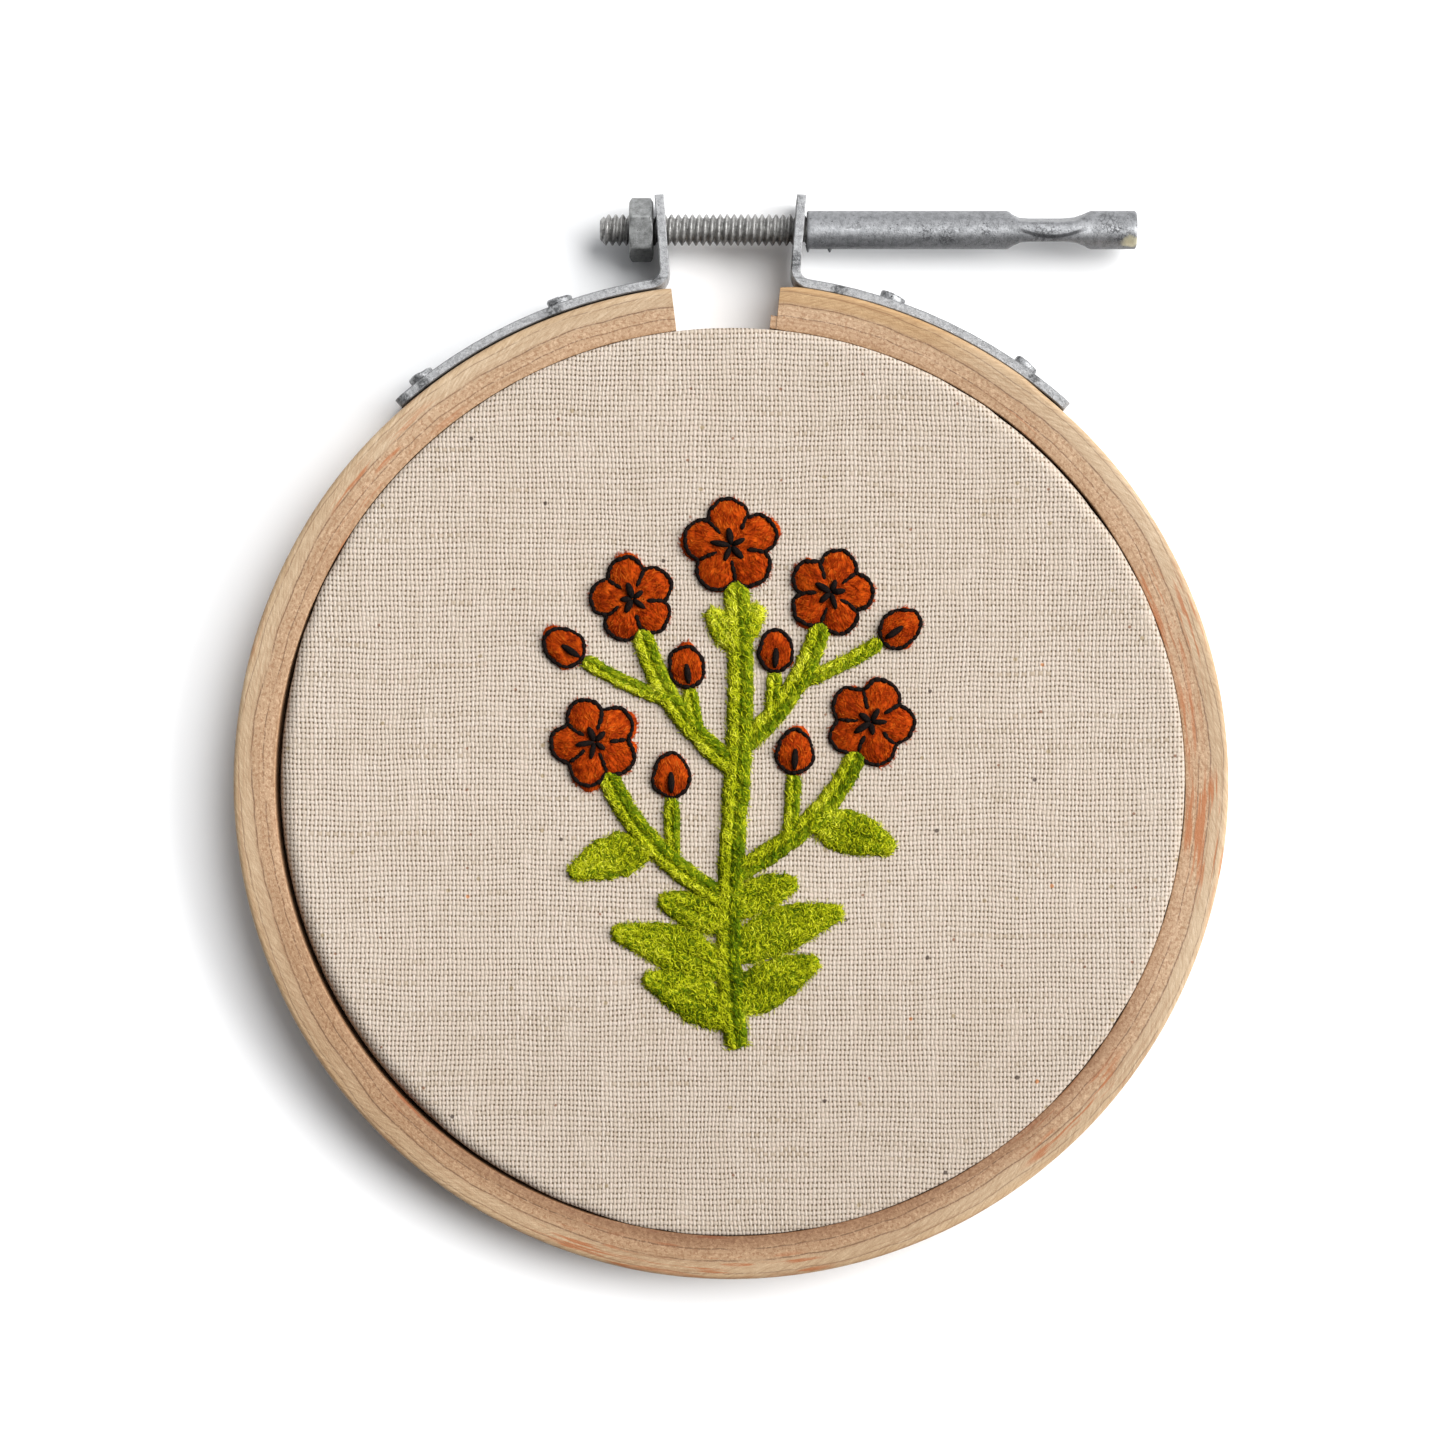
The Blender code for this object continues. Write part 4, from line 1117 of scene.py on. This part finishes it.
def blossom_stems():
    """The curve of the main stem, then one for each side stem that rises to a blossom."""
    x, y, radius, _ = BLOSSOMS[0]
    stems = [stop_short(MAIN_STEM, (x, y), radius * STEM_REACH * (1.0 - PETAL_NOTCH))]
    for x, y, radius, height in BLOSSOMS[1:]:
        root = place_at_height(stems[0], height)
        bend = (SIDE_BEND_OUT * x, height + SIDE_BEND_UP * (y - height))
        stems.append(stop_short((root, bend), (x, y), radius * STEM_REACH * (1.0 - PETAL_NOTCH)))
    return stems


def bud_twigs(stems):
    """One curve for each bud, from the side stem that carries it."""
    twigs = []
    for x, y, radius, carrier, share in BUDS:
        root = curve_point(stems[carrier - 1], share)
        bend_x = root.x + TWIG_BEND_OUT * (x - root.x)
        bend_y = root.y + TWIG_BEND_UP * (y - root.y)
        controls = ((root.x, root.y), (bend_x, bend_y))
        twigs.append(stop_short(controls, (x, y), radius * STEM_REACH * BUD_BODY))
    return twigs


def leaf_curve(x, y, length, direction):
    """A leaf's curve, bowed a little upward."""
    turn = radians(direction)
    tip = (x + length * cos(turn), y + length * sin(turn))
    bow = LEAF_BOW * length * (1.0 if cos(turn) < 0.0 else -1.0)
    middle_x = 0.5 * (x + tip[0]) + bow * sin(turn)
    middle_y = 0.5 * (y + tip[1]) - bow * cos(turn)
    return (x, y), (middle_x, middle_y), tip


def leaf_half_width(share, half_width):
    """A lance-shaped leaf: narrow at its root, widest before its middle, rounded at its tip."""
    swell = max(0.0, sin(pi * share ** 0.8))
    return TIP_HALF_WIDTH + (half_width - TIP_HALF_WIDTH) * swell


class Field:
    """Heights of wool over the cloth, on a square grid round one motif."""

    def __init__(self, low_x, low_y, high_x, high_y):
        self.low_x = low_x
        self.low_y = low_y
        self.columns = int((high_x - low_x) / FIELD_STEP) + 2
        self.lines = int((high_y - low_y) / FIELD_STEP) + 2
        self.heights = np.zeros((self.columns, self.lines))

    def raise_to(self, x, y, height):
        """Lift the nearest grid point to at least this height."""
        column = round((x - self.low_x) / FIELD_STEP)
        line = round((y - self.low_y) / FIELD_STEP)
        if 0 < column < self.columns - 1 and 0 < line < self.lines - 1:
            self.heights[column, line] = max(self.heights[column, line], height)

    def at(self, x, y):
        """The height at a place, eased between grid points."""
        across = min(max((x - self.low_x) / FIELD_STEP, 0.0), self.columns - 1.001)
        up = min(max((y - self.low_y) / FIELD_STEP, 0.0), self.lines - 1.001)
        column, line = int(across), int(up)
        right, above = across - column, up - line
        near = self.heights[column, line] * (1.0 - right) + self.heights[column + 1, line] * right
        line += 1
        far = self.heights[column, line] * (1.0 - right) + self.heights[column + 1, line] * right
        return near * (1.0 - above) + far * above

    def place(self, x, y, lift=0.0):
        """The point in the frame on top of the wool."""
        return Vector((x, HOOP_Y + y, CLOTH_TOP - WOOL_FOOT + self.at(x, y) + lift))

    def skin(self, shape, roughness, slot=0):
        """Cover every raised cell, with its rim tucked just under the cloth's face."""
        numbers = {}
        raised = self.heights > 0.0
        for column in range(self.columns - 1):
            for line in range(self.lines - 1):
                if not raised[column:column + 2, line:line + 2].any():
                    continue
                face = []
                for right, up in ((0, 0), (1, 0), (1, 1), (0, 1)):
                    corner = (column + right, line + up)
                    if corner not in numbers:
                        x = self.low_x + corner[0] * FIELD_STEP
                        y = self.low_y + corner[1] * FIELD_STEP
                        height = self.heights[corner]
                        grain = noise.noise(Vector((x * WOOL_GRAIN, y * WOOL_GRAIN, 0.0)))
                        lift = roughness * grain if height > 0.0 else -WOOL_TUCK
                        top = CLOTH_TOP - WOOL_FOOT + height + lift
                        numbers[corner] = len(shape.points)
                        shape.points.append(Vector((x, HOOP_Y + y, top)))
                    face.append(numbers[corner])
                shape.faces.append(tuple(face))
                shape.slots.append(slot)


def strip_profile(side, rope, length):
    """How full a strip is at a place across it: two twisted strands, or a leaf with a midrib."""
    if rope:
        strand = 1.0 - min(1.0, abs(abs(side) - 0.46) / 0.54) ** 2.4
        slant = cos(tau * (length / ROPE_TWIST + 0.55 * side))
        return strand ** 0.6 * (1.0 - rope * (0.5 + 0.5 * slant))
    return (1.0 - abs(side) ** 2.2) ** 0.6 * (1.0 - 0.3 * exp(-(side / 0.13) ** 2))


def lay_strip(field, controls, width_at, height, rope):
    """Raise a strip of wool along a curve: a rope of two strands, or a leaf."""
    points = [curve_point(controls, step / 40) for step in range(41)]
    length = sum((far - near).length for near, far in zip(points, points[1:]))
    stations = int(length / (FIELD_STEP * 0.45))
    for index in range(stations + 1):
        share = index / stations
        middle = curve_point(controls, share)
        along = curve_heading(controls, share, 0.01)
        width = width_at(share)
        to_end = min(share, 1.0 - share) * length
        if to_end < width:
            width *= sqrt(max(0.0, 1.0 - (1.0 - to_end / width) ** 2))
        ragged = 1.0 + 0.16 * noise.noise(Vector((middle.x * 700.0, middle.y * 700.0, 3.0)))
        width *= ragged
        steps = max(2, int(width / (FIELD_STEP * 0.45)))
        for step in range(-steps, steps + 1):
            side = step / steps
            x = middle.x + along.y * side * width
            y = middle.y - along.x * side * width
            field.raise_to(x, y, height * strip_profile(side, rope, share * length))


def lay_fibres(shape, field, count, start_at, heading_at, rng, slots_at, curl=False):
    """Scatter fine fibres, or thicker curls of wool, that follow the top of the wool."""
    steps = CURL_STEPS if curl else FIBRE_STEPS
    length = CURL_LENGTH if curl else FIBRE_LENGTH
    radius = CURL_RADIUS if curl else FIBRE_RADIUS
    bending = CURL_BENDING if curl else FIBRE_BENDING
    taper = CURL_TAPER if curl else FIBRE_TAPER
    for _ in range(count):
        x, y = start_at()
        heading = heading_at(x, y)
        slot = rng.choice(slots_at(x, y))
        reach = length * rng.uniform(0.55, 1.35)
        bend = rng.uniform(-bending, bending) / steps
        lift = rng.uniform(-0.00002, 0.00011)
        rise = rng.choice((0.0, 0.0, 0.00005, 0.00012))
        x -= 0.5 * reach * cos(heading)
        y -= 0.5 * reach * sin(heading)
        path = []
        for step in range(steps + 1):
            arch = sin(pi * step / steps)
            path.append(field.place(x, y, lift + rise * arch + (field.at(x, y) <= 0.0) * 0.00008))
            x += reach / steps * cos(heading)
            y += reach / steps * sin(heading)
            heading += bend
        thick = radius * rng.uniform(0.7, 1.25)
        shape.tube(path, [thick * share for share in taper], 3, slot=slot)


def make_greens(stems, twigs, looks):
    """Lay stems, twigs and leaves as one felted mass, coloured dark as painted shade between the curls,
    under curls of wool and a haze of fibres.
    """
    field = Field(*GREENS_FIELD)
    strips = [(stems[0], lambda share: STEM_HALF_WIDTH, GREEN_HEIGHT, 0.22)]
    for stem in stems[1:]:
        strips.append((stem, lambda share: SIDE_HALF_WIDTH, SIDE_HEIGHT, 0.2))
    for twig in twigs:
        strips.append((twig, lambda share: TWIG_HALF_WIDTH, TWIG_HEIGHT, 0.18))
    for x, y, length, half_width, direction in LEAVES:
        wide = half_width + LEAF_SPREAD
        strips.append((
            leaf_curve(x, y, length, direction),
            lambda share, wide=wide: leaf_half_width(share, wide),
            LEAF_HEIGHT,
            0.0,
        ))
    for controls, width_at, height, rope in strips:
        lay_strip(field, controls, width_at, height, rope)
    mound = Shape()
    field.skin(mound, GREENS_ROUGHNESS)
    mound.piece("wool_greens", looks[:1], nodes=["embroidery_greens"])

    # Wool takes its slant from the strip that it lies on, and its tone from how high it lies
    rng = random.Random(GREENS_SEED)
    stem_curls = Shape()
    leaf_curls = Shape()
    fibres = Shape()
    main_line = [curve_point(stems[0], step / 60) for step in range(61)]
    main_y = [point.y for point in main_line]
    main_x = [point.x for point in main_line]

    def on_main_stem(x, y):
        return y < main_y[-1] and abs(x - np.interp(y, main_y, main_x)) < STEM_HALF_WIDTH * 0.85

    for number, (controls, width_at, height, rope) in enumerate(strips):
        length = (curve_point(controls, 1.0) - curve_point(controls, 0.0)).length
        area = length * 2.0 * width_at(0.5)
        spread = 0.45 if rope else 1.2
        slant = 0.5 if rope else 0.0
        state = {}

        def start_at():
            while True:
                held = rng.uniform(0.0, 1.0)
                middle = curve_point(controls, held)
                along = curve_heading(controls, held, 0.02)
                side = rng.uniform(-state["reach"], state["reach"])
                state["heading"] = atan2(along.y, along.x)
                state["side"] = side
                width = width_at(held)
                x = middle.x + along.y * side * width
                y = middle.y - along.x * side * width
                if number == 0 or not on_main_stem(x, y):
                    return x, y

        def heading_at(x, y):
            return state["heading"] + slant + rng.gauss(0.0, spread)

        def curl_slots(x, y):
            full = field.at(x, y) / height
            if full < 0.3:
                return (1, 1, 2)
            if rope and state["side"] > 0.12:
                return (3, 3, 3, 1)
            if rope:
                return (1, 1, 2, 2) if state["side"] < -0.12 else (3, 1)
            return (1, 1, 3, 2) if full < 0.8 else (1, 1, 2, 2, 3)

        def haze_slots(x, y):
            if field.at(x, y) < 0.35 * height:
                return (2, 2, 4)
            if rope:
                return (3, 3, 3, 1) if state["side"] > 0.0 else (1, 2, 1)
            return (1, 2, 1, 3)

        state["reach"] = 0.93
        curls = stem_curls if rope else leaf_curls
        count = int(area * CURLS_PER_AREA)
        lay_fibres(curls, field, count, start_at, heading_at, rng, curl_slots, curl=True)
        state["reach"] = 1.12
        lay_fibres(fibres, field, int(area * HAZE_PER_AREA), start_at, heading_at, rng, haze_slots)
    stem_curls.piece("wool_stem_curls", looks)
    leaf_curls.piece("wool_leaf_curls", looks)
    fibres.piece("wool_greens_fibres", looks)


def thread_path(points, looped=False):
    """Places for the ends of stitches, at an even spacing along a line."""
    corners = list(points) + ([points[0]] if looped else [])
    total = sum(dist(near, far) for near, far in zip(corners, corners[1:]))
    count = max(1, round(total / STITCH_LENGTH))
    pace = total / count
    ends = [corners[0]]
    left_over = pace
    for near, far in zip(corners, corners[1:]):
        span = dist(near, far)
        travelled = left_over
        while travelled < span - pace * 0.01 and len(ends) < count:
            share = travelled / span
            ends.append((near[0] + (far[0] - near[0]) * share, near[1] + (far[1] - near[1]) * share))
            travelled += pace
        left_over = travelled - span
    ends.append(corners[-1])
    return ends


def lay_stitch(shape, start, end, field, radius):
    """One straight stitch of black thread that swells between its ends."""
    swell = (0.45, 0.85, 1.08, 1.12, 1.05, 0.85, 0.45)
    path = []
    for index in range(len(swell)):
        share = -STITCH_OVERLAP + (1.0 + 2.0 * STITCH_OVERLAP) * index / (len(swell) - 1)
        x = start[0] + (end[0] - start[0]) * share
        y = start[1] + (end[1] - start[1]) * share
        path.append(field.place(x, y, radius * (0.1 + 0.55 * swell[index])))
    shape.tube(path, [radius * share for share in swell], STITCH_SIDES)


def lay_thread(shape, points, field, rng, looped=False):
    """Back-stitch a line of black thread on top of the wool, each stitch a little off its line."""
    ends = thread_path(points, looped)
    swayed = [(x + rng.gauss(0.0, STITCH_SWAY), y + rng.gauss(0.0, STITCH_SWAY)) for x, y in ends]
    if looped:
        swayed[-1] = swayed[0]
    for start, end in zip(swayed, swayed[1:]):
        lay_stitch(shape, start, end, field, THREAD_RADIUS * rng.uniform(0.82, 1.18))


def flower_distance(angle, radius, petals):
    """How far a flower's edge is from its middle: five round petals, or a bud's pointed oval."""
    if petals:
        petal = abs(cos(BLOSSOM_PETALS * angle / 2.0)) ** PETAL_ROUNDNESS
        return radius * (1.0 - PETAL_NOTCH + PETAL_NOTCH * petal)
    return radius * (BUD_BODY + BUD_POINT * max(0.0, cos(angle)) ** 3)


def make_flower(name, x, y, radius, turn, height, petals, looks, black, seed):
    """Fill a flower with orange wool, then outline it and mark its middle with black thread."""
    rng = random.Random(seed)
    reach = radius * 1.25
    field = Field(x - reach, y - reach, x + reach, y + reach)

    def wool_edge(angle):
        """The wool's edge: close to the outline, and past it in a few soft patches."""
        spill = noise.noise(Vector((cos(angle) * 1.6, sin(angle) * 1.6, seed * 3.0)))
        fray = noise.noise(Vector((cos(angle) * 7.0, sin(angle) * 7.0, seed)))
        share = 0.965 + 0.22 * max(0.0, spill - 0.05) + 0.03 * fray
        return flower_distance(angle, radius, petals) * share

    for column in range(1, field.columns - 1):
        for line in range(1, field.lines - 1):
            off_x = field.low_x + column * FIELD_STEP - x
            off_y = field.low_y + line * FIELD_STEP - y
            angle = atan2(off_y, off_x) - turn
            share = hypot(off_x, off_y) / wool_edge(angle)
            if share >= 1.0:
                continue
            lift = (1.0 - share ** 3) ** 0.65
            if petals:
                beside = (BLOSSOM_PETALS * angle / tau - 0.5) % 1.0
                crease = min(beside, 1.0 - beside) / 0.1
                lift *= 1.0 - 0.3 * exp(-crease ** 2) * min(1.0, share * 2.0)
            dip = 1.0 - 0.25 * exp(-(share / 0.22) ** 2)
            waves = 1.0 + 0.16 * noise.noise(Vector((off_x * 650.0, off_y * 650.0, seed)))
            field.heights[column, line] = height * lift * dip * waves
    shape = Shape()
    field.skin(shape, FLOWER_ROUGHNESS)

    def start_at():
        while True:
            angle = rng.uniform(0.0, tau)
            edge = wool_edge(angle)
            share = sqrt(rng.uniform(0.0, 1.02))
            if rng.uniform(0.0, 1.0) < edge / radius:
                reach = share * edge
                return x + reach * cos(angle + turn), y + reach * sin(angle + turn)

    def heading_at(place_x, place_y):
        if petals:
            angle = atan2(place_y - y, place_x - x) - turn
            sector = round(angle * BLOSSOM_PETALS / tau)
            return turn + sector * tau / BLOSSOM_PETALS + rng.gauss(0.0, 0.5)
        return turn + rng.gauss(0.0, 0.45)

    count = int(pi * (radius * 0.85) ** 2 * FLOWER_FIBRES_PER_AREA)
    lay_fibres(shape, field, count, start_at, heading_at, rng, lambda *_: (0, 0, 0, 1, 2))
    shape.piece(name + "_wool", looks, nodes=[name])

    threads = Shape()

    def polar(angle, share):
        distance = share * flower_distance(angle, radius, petals)
        return x + distance * cos(angle + turn), y + distance * sin(angle + turn)

    rim = [polar(tau * step / RIM_STEPS, 0.94) for step in range(RIM_STEPS)]
    lay_thread(threads, rim, field, rng, looped=True)
    if petals:
        for petal in range(BLOSSOM_PETALS):
            notch = tau * (petal + 0.5) / BLOSSOM_PETALS
            lay_thread(threads, [polar(notch, 0.96), polar(notch, rng.uniform(0.4, 0.55))], field, rng)
            ray = tau * petal / BLOSSOM_PETALS + rng.uniform(-0.14, 0.14)
            tip = polar(ray, rng.uniform(0.24, 0.38))
            lay_stitch(threads, polar(ray, 0.06), tip, field, THREAD_RADIUS * rng.uniform(1.3, 1.7))
    else:
        lay_stitch(threads, polar(pi, 0.62), polar(0.0, 0.16), field, THREAD_RADIUS * 1.55)
    threads.piece(name + "_thread", [black])


def make_embroidery():
    """Make the greens, the blossoms and the buds with their materials."""
    greens = [wool_look(*tones) for tones in GREEN_WOOLS]
    oranges = [wool_look(*tones) for tones in ORANGE_WOOLS]
    black = black_thread_look()
    stems = blossom_stems()
    twigs = bud_twigs(stems)
    make_greens(stems, twigs, greens)
    for kind, rows, carriers, height, seed in (
        ("blossom", BLOSSOMS, stems, BLOSSOM_HEIGHT, BLOSSOM_SEED),
        ("bud", BUDS, twigs, BUD_HEIGHT, BUD_SEED),
    ):
        for index, (x, y, radius, *_) in enumerate(rows):
            turn = stem_heading(carriers[index])
            petals = kind == "blossom"
            name = f"{kind}_{index + 1}"
            make_flower(name, x, y, radius, turn, height, petals, oranges, black, seed + index)


# Studio
def make_camera():
    """Look straight down on the hoop, as the photograph does."""
    data = bpy.data.cameras.new("photo_camera")
    data.sensor_width = SENSOR_WIDTH
    data.lens = SENSOR_WIDTH * VIEW_DISTANCE / VIEW_WIDTH
    data.clip_start = 0.01
    data.clip_end = 20.0
    camera = put_in_scene("photo_camera", data)
    camera.location = (VIEW_CENTRE[0], HOOP_Y + VIEW_CENTRE[1], RING_TOP + VIEW_DISTANCE)
    bpy.context.scene.camera = camera


def make_studio():
    """White paper, two broad lights from the upper right and a soft sky."""
    half = FLOOR_HALF_WIDTH
    corners = [(-half, -half, 0.0), (half, -half, 0.0), (half, half, 0.0), (-half, half, 0.0)]
    mesh = bpy.data.meshes.new("studio_floor")
    mesh.from_pydata(corners, [], [(0, 1, 2, 3)])
    mesh.materials.append(floor_look())
    put_in_scene("studio_floor", mesh)
    for name, energy, spread, aim in LAMPS:
        sun = bpy.data.lights.new(name, "SUN")
        sun.energy = energy
        sun.angle = radians(spread)
        lamp = put_in_scene(name, sun)
        lamp.rotation_euler = Vector(aim).to_track_quat("Z", "Y").to_euler()
    world = bpy.data.worlds.new("soft_sky")
    world.use_nodes = True
    nodes = world.node_tree.nodes
    links = world.node_tree.links
    place = nodes.new("ShaderNodeTexCoord")
    aim = nodes.new("ShaderNodeVectorMath")
    aim.operation = "DOT_PRODUCT"
    aim.inputs[1].default_value = SKY_AIM
    tone = nodes.new("ShaderNodeValToRGB")
    for element, (position, colour) in zip(tone.color_ramp.elements, SKY_STOPS):
        element.position = position
        element.color = (*colour, 1.0)
    links.new(place.outputs["Generated"], aim.inputs[0])
    links.new(aim.outputs["Value"], tone.inputs["Fac"])
    links.new(tone.outputs["Color"], nodes["Background"].inputs["Color"])
    nodes["Background"].inputs["Strength"].default_value = SKY_STRENGTH
    bpy.context.scene.world = world
    bpy.context.scene.view_settings.view_transform = "Standard"


def dress():
    """Put every finished piece over its solid."""
    beech = beech_look("beech", RING_BORE, RING_THICKNESS, (1.0, 1.0, 1.0))
    inner_bore = INNER_HIGH.x - INNER_RING_THICKNESS
    inner_beech = beech_look("inner_beech", inner_bore, INNER_RING_THICKNESS, (1.0, 0.97, 0.93))
    galvanised, zinc, nut_steel, rod_steel, tube_steel = [metal_look(*row) for row in METALS]
    make_outer_ring(beech)
    make_inner_ring(inner_beech)
    make_cloth(linen_look())
    for node in ("bracket_left", "bracket_right"):
        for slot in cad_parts[node].material_slots:
            slot.material = galvanised
    make_rivets(zinc)
    make_rod(rod_steel)
    make_tube(tube_steel)
    make_nut(nut_steel)
    make_embroidery()


make_camera()
make_studio()
dress()
